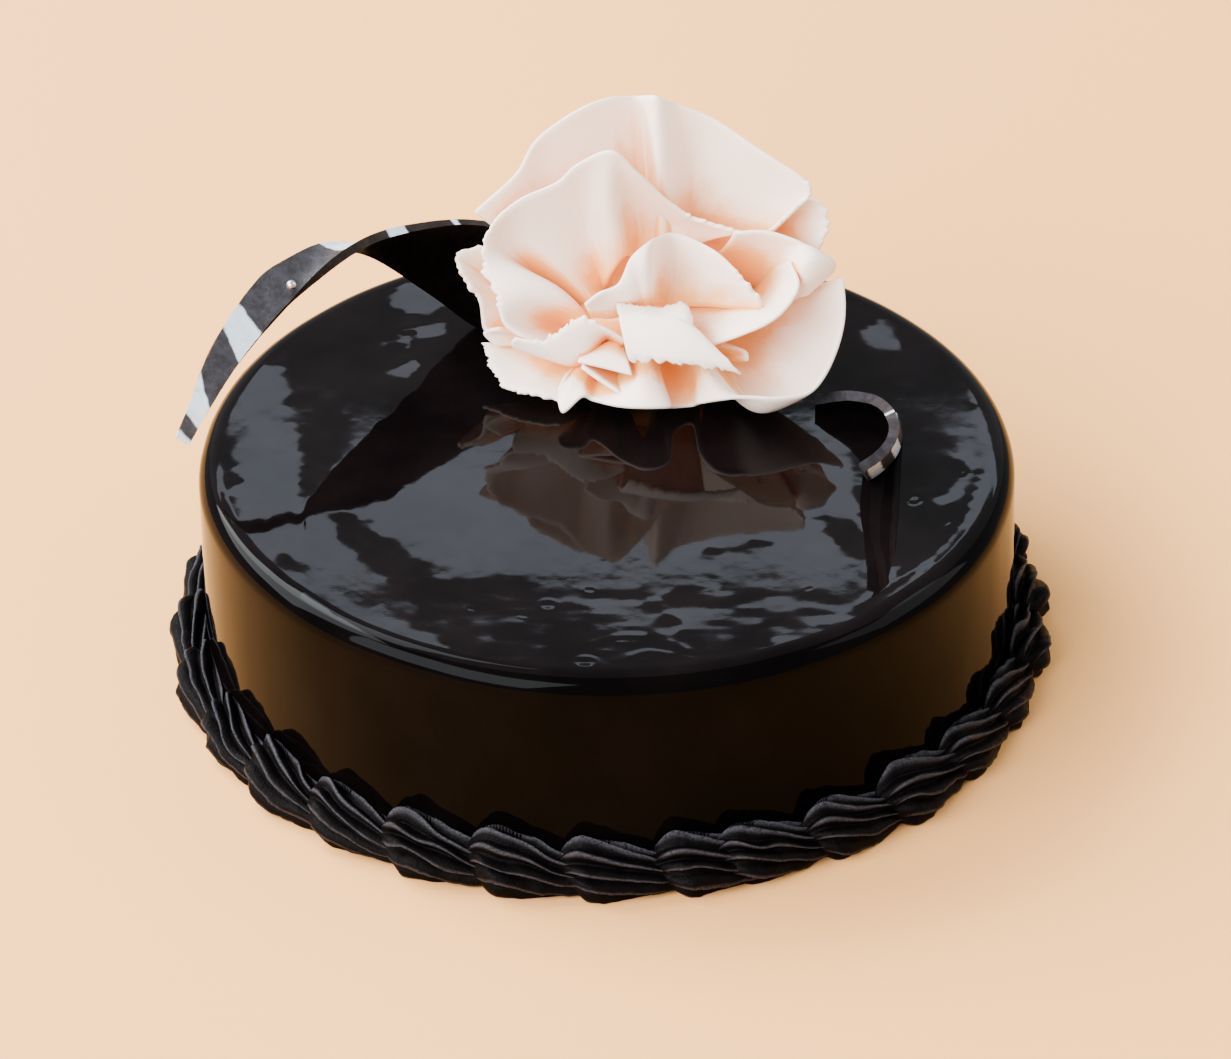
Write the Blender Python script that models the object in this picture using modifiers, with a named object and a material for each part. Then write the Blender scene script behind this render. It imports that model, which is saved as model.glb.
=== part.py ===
"""Chocolate truffle cake: a glazed round cake with a piped shell border,
a ruffled flower, a striped chocolate ribbon, a small chocolate curl and a sugar pearl.

The origin is the centre of the cake's underside, +Z is up and -Y is the front.
"""
import math
import random

import bmesh
import bpy
from mathutils import Matrix, Vector

MM = 0.001
GAP = 0.3 * MM                      # clearance kept between pieces that touch
WALL_GAP = 0.36 * MM                # the border's from the cake, as both have flat facets

# Cake: a turned body whose top leans a little, as the real one does.
CAKE_RADIUS = 97.0 * MM
CAKE_HEIGHT = 56.8 * MM             # at the middle of the top
RIM_ROUNDING = 5.5 * MM
LEAN_RIGHT = 0.0158                 # the top drops this much for each metre to the right
LEAN_BACK = 0.0093                  # and this much for each metre to the back
CAKE_SIDES = 72
RIM_STEPS = 4
FOOT_ROUNDING = 0.8 * MM

# Border: overlapping shells piped counter-clockwise from the join at the front, evenly
# spaced but for the last one, which is squeezed in before the join.
SHELL_COUNT = 29
SHELL_START = math.radians(-73.4)
LAST_SHELL_SPAN = math.radians(8.4)
SHELL_AXIS_RADIUS = 98.4 * MM
SHELL_LENGTH = 30.0 * MM
SHELL_BACK = 4.5 * MM               # how far a head reaches back over the tail behind it
SHELL_HALF_WIDTH = 8.2 * MM
SHELL_HALF_HEIGHT = 9.6 * MM
SHELL_CENTRE_HEIGHT = 6.4 * MM
SHELL_RIDGES = 8
RIDGE_DEPTH = 0.2
RIDGE_LEAN = 0.68                   # how far along the ridge spacing each groove lies
SHELL_TWIST = (math.radians(-38.0), math.radians(-12.0))
SHELL_SHEAR = 2.6 * MM              # a head's top reaches back by this, its foot forward
SHELL_HEAD = 0.24                   # share of its length that a shell's round head takes
HEAD_ROUNDNESS = 0.6                # power of the head's swell: lower is blunter
TAIL_NARROWING = 0.6                # share of its thickness that a shell loses to its tail
TAIL_POWER = 1.2
SHELL_SETTLING = 0.55               # share of its middle's height that follows its thickness
SHELL_STATIONS = (0.02, 0.09, SHELL_HEAD, 0.48, 0.74, 1.0)
SIZE_SPREAD = 0.07
SHELL_SEED = 4

# Flower: petals are drawn in its own face frame, which is tipped back to look up
# and forward. A point there is (across, up, forward) in millimetres from the heart.
FLOWER_HEART = Vector((3.3, 39.8, 70.0)) * MM
FACE_TILT = math.radians(34.0)
PETAL_THICKNESS = 1.4 * MM
CORE_CENTRE = (8.4, -2.3, -1.0)
CORE_RADII = (20.0, 9.0, 9.0)
FOOT_RADIUS = 12.0 * MM
FOOT_TAPER = 0.7                    # the foot's radius at its top, as a share of that at its base
FOOT_OVERLAP = 4.0 * MM             # how much longer the foot is than its way up to the heart
FOOT_SINK = 3.0 * MM                # and how far it is let down into the glaze
FOOT_CENTRE = (14.0 * MM, 43.0 * MM)

# Ribbon: the near and the far long edge, as (x, y, height over the glaze) in millimetres.
RIBBON_NEAR = [(-98.5, -11.6, 9.5), (-91.9, -5.6, 18.5), (-84.9, 4.5, 24.6), (-74.4, 18.5, 30.3),
               (-63.7, 28.7, 35.4), (-55.4, 34.9, 37.6), (-48.3, 40.4, 36.9), (-38.9, 47.8, 34.3),
               (-30.6, 52.4, 31.7), (-15.0, 55.0, 27.5)]
RIBBON_FAR = [(-101.3, -10.8, 11.5), (-97.8, -6.3, 18.4), (-94.1, 0.9, 25.4), (-89.4, 10.6, 29.8),
              (-82.3, 22.3, 33.9), (-75.5, 28.8, 35.8), (-67.1, 40.0, 32.8), (-59.5, 47.0, 28.0),
              (-52.5, 50.5, 22.3), (-40.9, 54.5, 9.8), (-29.5, 55.5, -0.4), (-15.0, 57.0, -4.0)]
RIBBON_THICKNESS = 2.2 * MM
RIBBON_STEPS = 40

# Curl: its near edge, as (x, y, height over the glaze) in millimetres. From it the
# curl runs back and down into the glaze along CURL_REACH.
CURL_EDGE = [(50.0, 16.0, 3.2), (56.4, 12.6, 6.5), (60.1, 10.2, 7.8), (63.5, 5.0, 10.3),
             (66.0, -2.0, 12.6), (67.3, -10.0, 14.7), (67.5, -17.0, 15.8), (66.0, -25.0, 17.1),
             (62.9, -32.0, 18.1), (59.0, -37.0, 18.3)]
CURL_REACH = Vector((0.067, 0.785, -0.617))
CURL_THICKNESS = 2.4 * MM
CURL_STEPS = 22
CURL_SINK = 3.0 * MM                # how far it reaches past the glaze before it is cut there

# Pearl: it sits on the ribbon's outer face, at these fractions along and across it.
PEARL_RADIUS = 1.25 * MM
PEARL_ALONG = 0.39
PEARL_ACROSS = 0.24


def glaze_height(x, y):
    """Height of the cake's flat top over a point of the floor."""
    return CAKE_HEIGHT - LEAN_RIGHT * x - LEAN_BACK * y


def face_point(across, up, forward):
    """World place of a point given in the flower's face frame, in millimetres."""
    right = Vector((1.0, 0.0, 0.0))
    upward = Vector((0.0, math.sin(FACE_TILT), math.cos(FACE_TILT)))
    outward = Vector((0.0, -math.cos(FACE_TILT), math.sin(FACE_TILT)))
    return FLOWER_HEART + (right * across + upward * up + outward * forward) * MM


def above_glaze(points):
    """World points from (x, y, height over the glaze) rows in millimetres."""
    rows = []
    for x, y, height in points:
        rows.append(Vector((x * MM, y * MM, glaze_height(x * MM, y * MM) + height * MM)))
    return rows


def curve_point(points, t):
    """The point at t, from 0 to 1, of a Catmull-Rom curve with even steps between its points."""
    last = len(points) - 1
    i = min(int(t * last), last - 1)
    u = t * last - i
    b, c = points[i], points[i + 1]
    a = points[i - 1] if i else b * 2 - c
    d = points[i + 2] if i + 2 <= last else c * 2 - b
    bend = (a * 2 - b * 5 + c * 4 - d) * u ** 2 + (b * 3 - a - c * 3 + d) * u ** 3
    return b + ((c - a) * u + bend) / 2


def even_steps(points, steps):
    """Values of t that are evenly spaced along the curve through the points."""
    fine = 16 * (len(points) - 1)
    line = [curve_point(points, k / fine) for k in range(fine + 1)]
    reach = [0.0]
    for p, q in zip(line, line[1:]):
        reach.append(reach[-1] + (q - p).length)
    values = []
    spot = 0
    for k in range(steps + 1):
        goal = reach[-1] * k / steps
        while spot < fine - 1 and reach[spot + 1] < goal:
            spot += 1
        values.append((spot + (goal - reach[spot]) / (reach[spot + 1] - reach[spot])) / fine)
    return values


def smooth_line(points, steps):
    """Evenly spaced points along the curve through the points."""
    return [curve_point(points, t) for t in even_steps(points, steps)]


def paint(name, colour, roughness, metallic=0.0):
    """A Principled material."""
    material = bpy.data.materials.new(name)
    material.use_nodes = True
    shader = material.node_tree.nodes["Principled BSDF"]
    shader.inputs["Base Color"].default_value = (*colour, 1.0)
    shader.inputs["Roughness"].default_value = roughness
    shader.inputs["Metallic"].default_value = metallic
    material.diffuse_color = (*colour, 1.0)
    return material


def new_object(name, shape, collection, material=None):
    """An object made from a bmesh, linked to a collection."""
    mesh = bpy.data.meshes.new(name)
    shape.to_mesh(mesh)
    shape.free()
    piece = bpy.data.objects.new(name, mesh)
    collection.objects.link(piece)
    if material:
        mesh.materials.append(material)
    return piece


def evaluated_shape(piece):
    """A bmesh of the object with its modifiers applied, in world space."""
    graph = bpy.context.evaluated_depsgraph_get()
    solid = bpy.data.meshes.new_from_object(piece.evaluated_get(graph))
    shape = bmesh.new()
    shape.from_mesh(solid)
    shape.transform(piece.matrix_world)
    bpy.data.meshes.remove(solid)
    return shape


def thin_solid(rows, thickness):
    """A closed thin solid on both sides of a grid of points, split alike on its two faces."""
    across = len(rows)
    along = len(rows[0])
    shape = bmesh.new()
    top = []
    bottom = []
    for i in range(across):
        top.append([])
        bottom.append([])
        for j in range(along):
            du = rows[min(i + 1, across - 1)][j] - rows[max(i - 1, 0)][j]
            dv = rows[i][min(j + 1, along - 1)] - rows[i][max(j - 1, 0)]
            normal = du.cross(dv).normalized() * (thickness / 2)
            top[i].append(shape.verts.new(rows[i][j] + normal))
            bottom[i].append(shape.verts.new(rows[i][j] - normal))
    for i in range(across - 1):
        for j in range(along - 1):
            for side, flip in ((top, False), (bottom, True)):
                a, b = side[i][j], side[i + 1][j]
                c, d = side[i + 1][j + 1], side[i][j + 1]
                for corners in ((a, b, c), (a, c, d)):
                    shape.faces.new(corners[::-1] if flip else corners)
    loop = [(i, 0) for i in range(across)]
    loop += [(across - 1, j) for j in range(1, along)]
    loop += [(i, along - 1) for i in range(across - 2, -1, -1)]
    loop += [(0, j) for j in range(along - 2, 0, -1)]
    for (i, j), (k, l) in zip(loop, loop[1:] + loop[:1]):
        shape.faces.new((top[i][j], bottom[i][j], bottom[k][l]))
        shape.faces.new((top[i][j], bottom[k][l], top[k][l]))
    bmesh.ops.recalc_face_normals(shape, faces=shape.faces[:])
    return shape


def union_of(collection, solver):
    """One shape fused from every object of a collection, whose objects are then removed."""
    first = collection.objects[0]
    collection.objects.unlink(first)
    bpy.context.scene.collection.objects.link(first)
    fuse = first.modifiers.new("fuse", "BOOLEAN")
    fuse.operation = "UNION"
    fuse.operand_type = "COLLECTION"
    fuse.collection = collection
    fuse.solver = solver
    shape = evaluated_shape(first)
    for piece in list(collection.objects) + [first]:
        bpy.data.objects.remove(piece)
    bpy.data.collections.remove(collection)
    return shape


def cut_by_plane(shape, point, normal):
    """Keeps the side of the plane that the normal points to, and closes the cut."""
    geometry = shape.verts[:] + shape.edges[:] + shape.faces[:]
    bmesh.ops.bisect_plane(shape, geom=geometry, dist=1e-7, plane_co=point, plane_no=normal,
                           clear_inner=True)
    rim = [edge for edge in shape.edges if edge.is_boundary]
    bmesh.ops.holes_fill(shape, edges=rim, sides=0)


def largest_body(shape):
    """Drops loose scraps and the inner walls of sealed hollows."""
    bmesh.ops.triangulate(shape, faces=shape.faces[:])
    left = set(shape.verts)
    bodies = []
    while left:
        body = {left.pop()}
        front = list(body)
        while front:
            vert = front.pop()
            for edge in vert.link_edges:
                other = edge.other_vert(vert)
                if other in left:
                    left.remove(other)
                    body.add(other)
                    front.append(other)
        bodies.append(body)
    bodies.sort(key=len)
    loose = [vert for body in bodies[:-1] for vert in body]
    bmesh.ops.delete(shape, geom=loose, context="VERTS")


def top_plane():
    """A point and the upward normal of the plane that pieces on the glaze are cut to."""
    return Vector((0, 0, CAKE_HEIGHT + GAP)), Vector((LEAN_RIGHT, LEAN_BACK, 1.0)).normalized()


def make_cake(collection):
    """The glazed cake: a turned profile with a rounded rim, its top then leaned."""
    profile = bmesh.new()
    points = [(0.0, CAKE_HEIGHT), (CAKE_RADIUS * 0.5, CAKE_HEIGHT)]
    for k in range(RIM_STEPS + 1):
        turn = math.pi / 2 * (1 - k / RIM_STEPS)
        points.append((CAKE_RADIUS - RIM_ROUNDING + RIM_ROUNDING * math.cos(turn),
                       CAKE_HEIGHT - RIM_ROUNDING + RIM_ROUNDING * math.sin(turn)))
    points += [(CAKE_RADIUS, CAKE_HEIGHT / 2), (CAKE_RADIUS, FOOT_ROUNDING),
               (CAKE_RADIUS - FOOT_ROUNDING, 0.0)]
    verts = [profile.verts.new((x, 0.0, z)) for x, z in points]
    for a, b in zip(verts, verts[1:]):
        profile.edges.new((a, b))
    turned = new_object("cake_profile", profile, collection)
    screw = turned.modifiers.new("turn", "SCREW")
    screw.steps = CAKE_SIDES
    screw.render_steps = CAKE_SIDES
    screw.use_merge_vertices = True
    screw.merge_threshold = 1e-5
    shape = evaluated_shape(turned)
    bpy.data.objects.remove(turned)
    bmesh.ops.holes_fill(shape, edges=[e for e in shape.edges if e.is_boundary], sides=0)
    for vert in shape.verts:
        lean = LEAN_RIGHT * vert.co.x + LEAN_BACK * vert.co.y
        vert.co.z -= lean * vert.co.z / CAKE_HEIGHT
    bmesh.ops.recalc_face_normals(shape, faces=shape.faces[:])
    cake = new_object("cake_body", shape, collection, paint("dark_glaze", (0.012, 0.008, 0.007), 0.06))
    cake.data.shade_smooth()
    cake.data.set_sharp_from_angle(angle=math.radians(40))


def shell_swell(t):
    """Thickness of a shell along its length: a round head that narrows to a tail."""
    head = math.sin(min(t / SHELL_HEAD, 1.0) * math.pi / 2) ** HEAD_ROUNDNESS
    tail = max(0.0, (t - SHELL_HEAD) / (1.0 - SHELL_HEAD))
    return head * (1.0 - TAIL_NARROWING * tail ** TAIL_POWER)


def shell_angles():
    """Where each shell starts around the cake."""
    step = (2 * math.pi - LAST_SHELL_SPAN) / (SHELL_COUNT - 1)
    return [SHELL_START + step * k for k in range(SHELL_COUNT)]


def shell_shape(angle, size, twist):
    """One shell: a ridged section swept along the ring, from its head to its tail."""
    shape = bmesh.new()
    step = 2 * math.pi / SHELL_RIDGES
    rings = []
    for t in SHELL_STATIONS:
        swell = shell_swell(t) * size
        ring = []
        for j in range(SHELL_RIDGES * 2):
            around = step * (j // 2) + twist * t
            depth = 1.0
            if j % 2:
                around += step * RIDGE_LEAN
                depth -= RIDGE_DEPTH
            travel = SHELL_LENGTH * t - SHELL_BACK - SHELL_SHEAR * math.sin(around)
            turn = angle + travel / SHELL_AXIS_RADIUS
            radius = SHELL_AXIS_RADIUS + SHELL_HALF_WIDTH * swell * depth * math.cos(around)
            height = SHELL_CENTRE_HEIGHT * (1 - SHELL_SETTLING + SHELL_SETTLING * swell)
            height += SHELL_HALF_HEIGHT * swell * depth * math.sin(around)
            ring.append(shape.verts.new((radius * math.cos(turn), radius * math.sin(turn), height)))
        rings.append(ring)
    for near, far in zip(rings, rings[1:]):
        for a, b, c, d in zip(near, near[1:] + near[:1], far[1:] + far[:1], far):
            shape.faces.new((a, b, c, d))
    shape.faces.new(rings[0])
    shape.faces.new(rings[-1])
    bmesh.ops.triangulate(shape, faces=shape.faces[:])
    bmesh.ops.recalc_face_normals(shape, faces=shape.faces[:])
    return shape


def make_border(collection):
    """The piped border: shells fused into a ring, trimmed to the cake's side and the floor."""
    draw = random.Random(SHELL_SEED)
    shells = bpy.data.collections.new("shells")
    bpy.context.scene.collection.children.link(shells)
    for angle in shell_angles():
        size = 1.0 + SIZE_SPREAD * draw.uniform(-1.0, 1.0)
        new_object("shell", shell_shape(angle, size, draw.uniform(*SHELL_TWIST)), shells)
    ring = new_object("shell_ring", union_of(shells, "MANIFOLD"), bpy.context.scene.collection)
    cutter = bmesh.new()
    bmesh.ops.create_cone(cutter, cap_ends=True, segments=CAKE_SIDES, radius1=CAKE_RADIUS + WALL_GAP,
                          radius2=CAKE_RADIUS + WALL_GAP, depth=CAKE_HEIGHT * 2,
                          matrix=Matrix.Rotation(math.pi / 2, 4, "Z"))
    wall = new_object("wall_cutter", cutter, bpy.context.scene.collection)
    trim = ring.modifiers.new("trim", "BOOLEAN")
    trim.operation = "DIFFERENCE"
    trim.solver = "MANIFOLD"
    trim.object = wall
    shape = evaluated_shape(ring)
    bpy.data.objects.remove(ring)
    bpy.data.objects.remove(wall)
    cut_by_plane(shape, Vector((0, 0, 0)), Vector((0, 0, 1)))
    largest_body(shape)
    new_object("shell_border", shape, collection, paint("piped_chocolate", (0.016, 0.013, 0.014), 0.5))


# Each petal is a row of ribs from its roots to its rim. A rib is its rim, belly and root,
# as (across, up, forward) in millimetres. One without a belly is bowed forward by the
# petal's bow, or back if that is below zero. Last come the ribs and spans of its grid.
PETALS = {
    "back_fan": ([
        ((-33.5, 24.5, 12.5), (-4, 2, -6)), ((-23.5, 33, 13), (-3, 3, -6)),
        ((-18.5, 41, 15), (-2, 3, -6)), ((-9, 47.5, 17.5), (-1, 3, -6)),
        ((-1, 50.5, 16), (1, 3, -6)), ((6, 51, 12), (8, 29.5, -1), (6, 3, -7)),
        ((10, 50.5, 20), (11, 28.5, 10), (11, 3, -6)), ((16, 48.5, 16), (17, 27.5, 3), (12, 3, -6)),
        ((24, 45, 15), (14, 3, -6)), ((34.5, 37.5, 17), (16, 3, -6)),
        ((46.5, 28.5, 18.5), (18, 2, -6)), ((43, 23.5, 16), (19, 2, -6)),
        ((37.5, 18.5, 13.5), (32.5, 14.5, 5), (20, 2, -6))], -5.0, 24, 3),
    "bowl": ([
        ((30, 18, 15), (20, 16, 6), (10.5, 11.5, -2)), ((16.5, 23, 12.5), (11.5, 20, 3), (7, 13, -1)),
        ((5.5, 32, 21.5), (5, 24, 7), (4.5, 13, -1)), ((-0.5, 37.5, 25), (-1, 26, 17), (2, 13.5, 6)),
        ((-9, 34.5, 21.5), (-5.5, 21, 9.5), (-2, 8.5, 3)),
        ((-14, 30.5, 18.5), (-8, 18, 6.5), (-3, 5.5, -5)),
        ((-23.5, 26.5, 16.5), (-16.5, 14, 6.5), (-5.5, 2, 1)),
        ((-30.5, 19.5, 15), (-19, 8.5, 0), (-6, -2, -3)),
        ((-31.5, 11.5, 12), (-16.5, 7, 10.5), (-7, -2.5, 5)),
        ((-28.5, 4, 13.5), (-16, 2.5, 11), (-8.5, -3, 4)),
        ((-26.5, -3, 14), (-16.5, -2.5, 2), (-10.5, -4.5, -3)),
        ((-18.5, -8, 13), (-15, -6.5, 7), (-9, -7, -1))], 0.0, 27, 4),
    "front_lip": ([
        ((-24.5, -6, 14.5), (-22.5, -8.5, 9), (-8, -7, 0)),
        ((-18.5, -7, 15.5), (-16.5, -11, 10.5), (-7, -7.5, 1)),
        ((-13.5, -4.5, 18), (-11.5, -12.5, 12), (-5, -8, 2)),
        ((-9, -2, 20), (-7.5, -10.5, 14), (-4.5, -8.5, 2)),
        ((-3, -4.5, 20.5), (-3, -6, 14), (-3, -8, 3)), ((1.5, -7, 19.5), (1, -8, 14), (-1.5, -8.5, 4))],
        0.0, 10, 3),
    "loop": ([
        ((-7.5, 1.5, 21), (-6, -1, 17)), ((-4, 4, 22.5), (-1.5, -1.5, 16)),
        ((0.5, 6, 22), (2.5, 2.5, 20), (3, 0, 15)), ((3.5, 12, 22.5), (5, 6, 21), (6.5, -0.5, 14)),
        ((7.5, 15.5, 22.5), (7.5, 8.5, 22), (8, 1, 15)), ((10, 17, 17), (9.5, 9, 13), (10, 1.5, 9)),
        ((13.5, 18, 14), (13.5, 9, 9), (13.5, 1, 7)), ((19, 16, 15.5), (20, 8, 12), (21, 1, 10)),
        ((25.5, 11.5, 19.5), (26.5, 5.5, 16), (29, 0, 14)),
        ((33.5, 2.5, 23), (34, 1, 21), (35, -1, 20))], 0.0, 18, 3),
    "lower_cup": ([
        ((21, -9, 17.5), (18, -4.5, 11), (14, 1, 5)), ((25, -8, 22), (23.5, -4, 15), (20.5, 1, 6)),
        ((34.5, -4.5, 27), (30.5, -1.5, 18), (27, 1.5, 5)),
        ((40, -0.5, 26), (35.5, 1, 16), (31.5, 2.5, 2)), ((43, 5, 23), (38.5, 5.5, 12), (34, 5.5, 0)),
        ((41.5, 10.5, 19), (38.5, 10, 9), (35, 9, 1))], 0.0, 9, 3),
    "right_cup": ([
        ((28.5, 18, 16), (26, 14.5, 9), (21, 10.5, 3)), ((35.5, 18, 16.5), (33, 13.5, 8), (29, 7.5, 0)),
        ((43, 15.5, 17.5), (39.5, 12.5, 11), (33.5, 5, -1)),
        ((49, 12.5, 17.5), (43, 10, 19.5), (36.5, 3.5, 0)),
        ((52, 9, 17), (44, 6.5, 19.5), (39, 2.5, 5)),
        ((45.5, 3, 15), (43.5, 2.5, 15.5), (42, 2, 12))], 0.0, 12, 3),
    "front_flap": ([
        ((2.5, -11.5, 24.5), (0.5, -1, 22)), ((10.5, -12.5, 27.5), (8, -2, 23.5)),
        ((19.5, -13.5, 28.5), (16, -3.5, 25)), ((28.5, -15.5, 28), (24, -11.5, 27))], 1.0, 8, 2),
    "flap_lip": ([
        ((0, 1.5, 20), (0.5, -1, 22)), ((9.5, 0, 19), (9.5, -2.5, 23.5)),
        ((15.5, 1, 19), (15.5, -3.5, 25)), ((17.5, -2.5, 21), (17.5, -4.5, 25))], 0.0, 6, 1),
    "flap_web": ([
        ((0.5, -1.5, 22), (3, -5.5, 4)), ((10.5, -3, 24), (10.5, -6, 4)),
        ((20.5, -8, 26), (17.5, -8, 4))], 0.0, 5, 2),
    "skirt": ([
        ((54, 6.5, 13), (41.5, 3, 6), (28.5, -1, -2)), ((54, -2.5, 16.5), (41, -5, 6), (27, -3, -2)),
        ((51.5, -11.5, 20), (39, -13, 8), (25, -5, -2)), ((46, -20, 23), (36, -20, 11), (23.5, -7, -1)),
        ((38, -22, 26), (31, -23.5, 15), (21, -8.5, 2)), ((31, -21.5, 27), (26, -19.5, 21), (20, -9.5, 10)),
        ((24, -22, 26.5), (21.5, -17, 22.5), (19.5, -10, 13)),
        ((19.5, -22.5, 22), (19.5, -17.5, 17), (19, -10.5, 7)),
        ((17.5, -23, 14.5), (17.5, -17.5, 7), (17, -10.5, -2)),
        ((12.5, -23.5, 17), (10.5, -18, 10), (10, -10.5, -1)),
        ((11.5, -23.5, 24.5), (10, -18, 20), (7.5, -10.5, 11)),
        ((6, -23.5, 26), (5.5, -18, 22.5), (5, -10.5, 12.5)),
        ((0, -23, 23), (1.5, -18, 18.5), (2, -11, 6)), ((-6, -21.5, 18), (-5, -17, 9), (-2.5, -11, -1)),
        ((-9, -20.5, 19.5), (-8, -16, 13), (-4.5, -11, 4)),
        ((-13.5, -24, 21), (-11, -17.5, 16), (-6.5, -11, 6.5)),
        ((-14.5, -19.5, 17), (-11.5, -15, 12), (-7.5, -10.5, 5)),
        ((-12.5, -15, 13.5), (-10.5, -13, 10), (-8, -10, 5))], 0.0, 38, 3),
    "left_skirt": ([
        ((-32.5, -7, 3), (-11.5, -8, 1)), ((-28.5, -16, 8.5), (-9.5, -10, 1)),
        ((-24.5, -18.5, 11), (-8.5, -11, 2)), ((-18, -20, 13), (-7, -11.5, 4)),
        ((-14.5, -21.5, 14), (-6, -11.5, 5))], 0.5, 8, 2),
    "left_tuck": ([
        ((-28.5, -3.5, 9), (-14, -5.5, 0)), ((-32, -4.5, 7), (-13, -6.5, 0)),
        ((-29.5, -7.5, 6), (-12, -7.5, 0))], 0.0, 5, 2),
    "small_leaf": ([
        ((-9.5, -12, 18), (-8, -10.5, 13), (-4, -8, 2)), ((-3.5, -13.5, 20), (-2, -8, 14), (-1.5, -8, 2)),
        ((3, -15.5, 21.5), (1.5, -10, 16), (1.5, -8.5, 4))], 0.0, 6, 3),
    "thin_leaf": ([
        ((-8.5, -13.5, 19), (-7.5, -12, 14), (-4, -9.5, 3)),
        ((0.5, -20, 21), (1, -18, 15), (0, -11, 3))], 0.0, 4, 3),
    "far_left": ([
        ((-33, 16.5, 3), (-23.5, 12, 0), (-8, 2, -6)), ((-38.5, 14, 4), (-26.5, 8.5, -3), (-8.5, 0, -6)),
        ((-36.5, 9, 6), (-26, 6, -2), (-9, -2, -5)), ((-33, 3, 6), (-23.5, 2, 1), (-9, -2.5, -4)),
        ((-32, -3.5, 4), (-22.5, -3, 0), (-9, -4, -3)), ((-29, -3.5, 5), (-21, -4.5, 1), (-9, -5, -3))],
        0.0, 10, 2),
    "right_back": ([
        ((43.5, 26, 12), (17.5, 6.5, -8)), ((48.5, 25, 12.5), (18.5, 6, -8)),
        ((50.5, 20, 11.5), (20, 5.5, -8)), ((48.5, 13.5, 10), (23, 3, -8))], -2.0, 7, 2),
    "tiny_curl": ([
        ((24.5, -8.5, 12), (21.5, -9.5, 2)), ((30, -10.5, 15), (24, -11, 2)),
        ((30.5, -12.5, 15.5), (24.5, -12, 2))], 0.0, 4, 2),
    "back_frill": ([
        ((-8, 20, -9), (2, 1, -8)), ((-1, 24, -8.5), (5, 1, -8)), ((6, 21.5, -13.5), (8, 0, -9)),
        ((14, 24.5, -9.5), (12, 0, -9)), ((22, 21, -14), (15, 0, -9)), ((30, 21.5, -9.5), (18, 0, -8)),
        ((36, 14, -9), (21, 0, -7))], -1.0, 14, 2),
}


def petal_rows(ribs, bow, across, spans):
    """The grid of points of a petal, from its roots out to its rim."""
    forward = face_point(0, 0, 1) - face_point(0, 0, 0)
    rims = [face_point(*rib[0]) for rib in ribs]
    roots = [face_point(*rib[-1]) for rib in ribs]
    bellies = []
    for rib, rim, root in zip(ribs, rims, roots):
        bellies.append(face_point(*rib[1]) if len(rib) == 3 else (rim + root) / 2 + forward * bow)
    rows = []
    for t in even_steps(rims, across):
        rim = curve_point(rims, t)
        belly = curve_point(bellies, t)
        root = curve_point(roots, t)
        row = []
        for j in range(spans + 1):
            v = j / spans
            inner = root * ((1 - v) * (1 - 2 * v)) + belly * (4 * v * (1 - v))
            row.append(inner + rim * (v * (2 * v - 1)))
        rows.append(row)
    return rows


def make_flower(collection):
    """The flower: its petals, core and foot fused into one solid that stands on the glaze."""
    petals = bpy.data.collections.new("petals")
    bpy.context.scene.collection.children.link(petals)
    core = bmesh.new()
    bmesh.ops.create_uvsphere(core, u_segments=14, v_segments=8, radius=1.0)
    for vert in core.verts:
        x, y, z = vert.co
        vert.co = face_point(CORE_CENTRE[0] + CORE_RADII[0] * x, CORE_CENTRE[1] + CORE_RADII[1] * z,
                             CORE_CENTRE[2] - CORE_RADII[2] * y)
    bmesh.ops.recalc_face_normals(core, faces=core.faces[:])
    new_object("core", core, petals)
    foot = bmesh.new()
    middle = (CAKE_HEIGHT + FLOWER_HEART.z) / 2
    bmesh.ops.create_cone(foot, cap_ends=True, segments=16, radius1=FOOT_RADIUS,
                          radius2=FOOT_RADIUS * FOOT_TAPER, depth=FLOWER_HEART.z - CAKE_HEIGHT + FOOT_OVERLAP,
                          matrix=Matrix.Translation((*FOOT_CENTRE, middle - FOOT_SINK)))
    new_object("foot", foot, petals)
    for name, (ribs, bow, across, spans) in PETALS.items():
        new_object(name, thin_solid(petal_rows(ribs, bow, across, spans), PETAL_THICKNESS), petals)
    shape = union_of(petals, "MANIFOLD")
    cut_by_plane(shape, *top_plane())
    largest_body(shape)
    new_object("flower", shape, collection, paint("blush_petal", (0.83, 0.66, 0.58), 0.55))


def ribbon_rows(steps, spans):
    """The grid of points of the ribbon's middle surface."""
    near = smooth_line(above_glaze(RIBBON_NEAR), steps)
    far = smooth_line(above_glaze(RIBBON_FAR), steps)
    rows = []
    for a, b in zip(near, far):
        rows.append([a.lerp(b, j / spans) for j in range(spans + 1)])
    return rows


def make_ribbon(collection):
    """The ribbon that rises from behind the flower and arches out over the cake's left side."""
    shape = thin_solid(ribbon_rows(RIBBON_STEPS, 3), RIBBON_THICKNESS)
    cut_by_plane(shape, *top_plane())
    largest_body(shape)
    new_object("chocolate_ribbon", shape, collection, paint("dark_chocolate", (0.03, 0.025, 0.026), 0.45))


def make_curl(collection):
    """The small curl that leans out of the glaze at the right of the flower."""
    near = smooth_line(above_glaze(CURL_EDGE), CURL_STEPS)
    point, normal = top_plane()
    reach = CURL_REACH.normalized()
    rows = []
    for start in near:
        length = (point - start).dot(normal) / reach.dot(normal) + CURL_SINK
        rows.append([start + reach * (length * j / 3) for j in range(4)])
    shape = thin_solid(rows, CURL_THICKNESS)
    cut_by_plane(shape, point, normal)
    largest_body(shape)
    new_object("chocolate_curl", shape, collection, paint("curl_chocolate", (0.03, 0.025, 0.026), 0.45))


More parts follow.
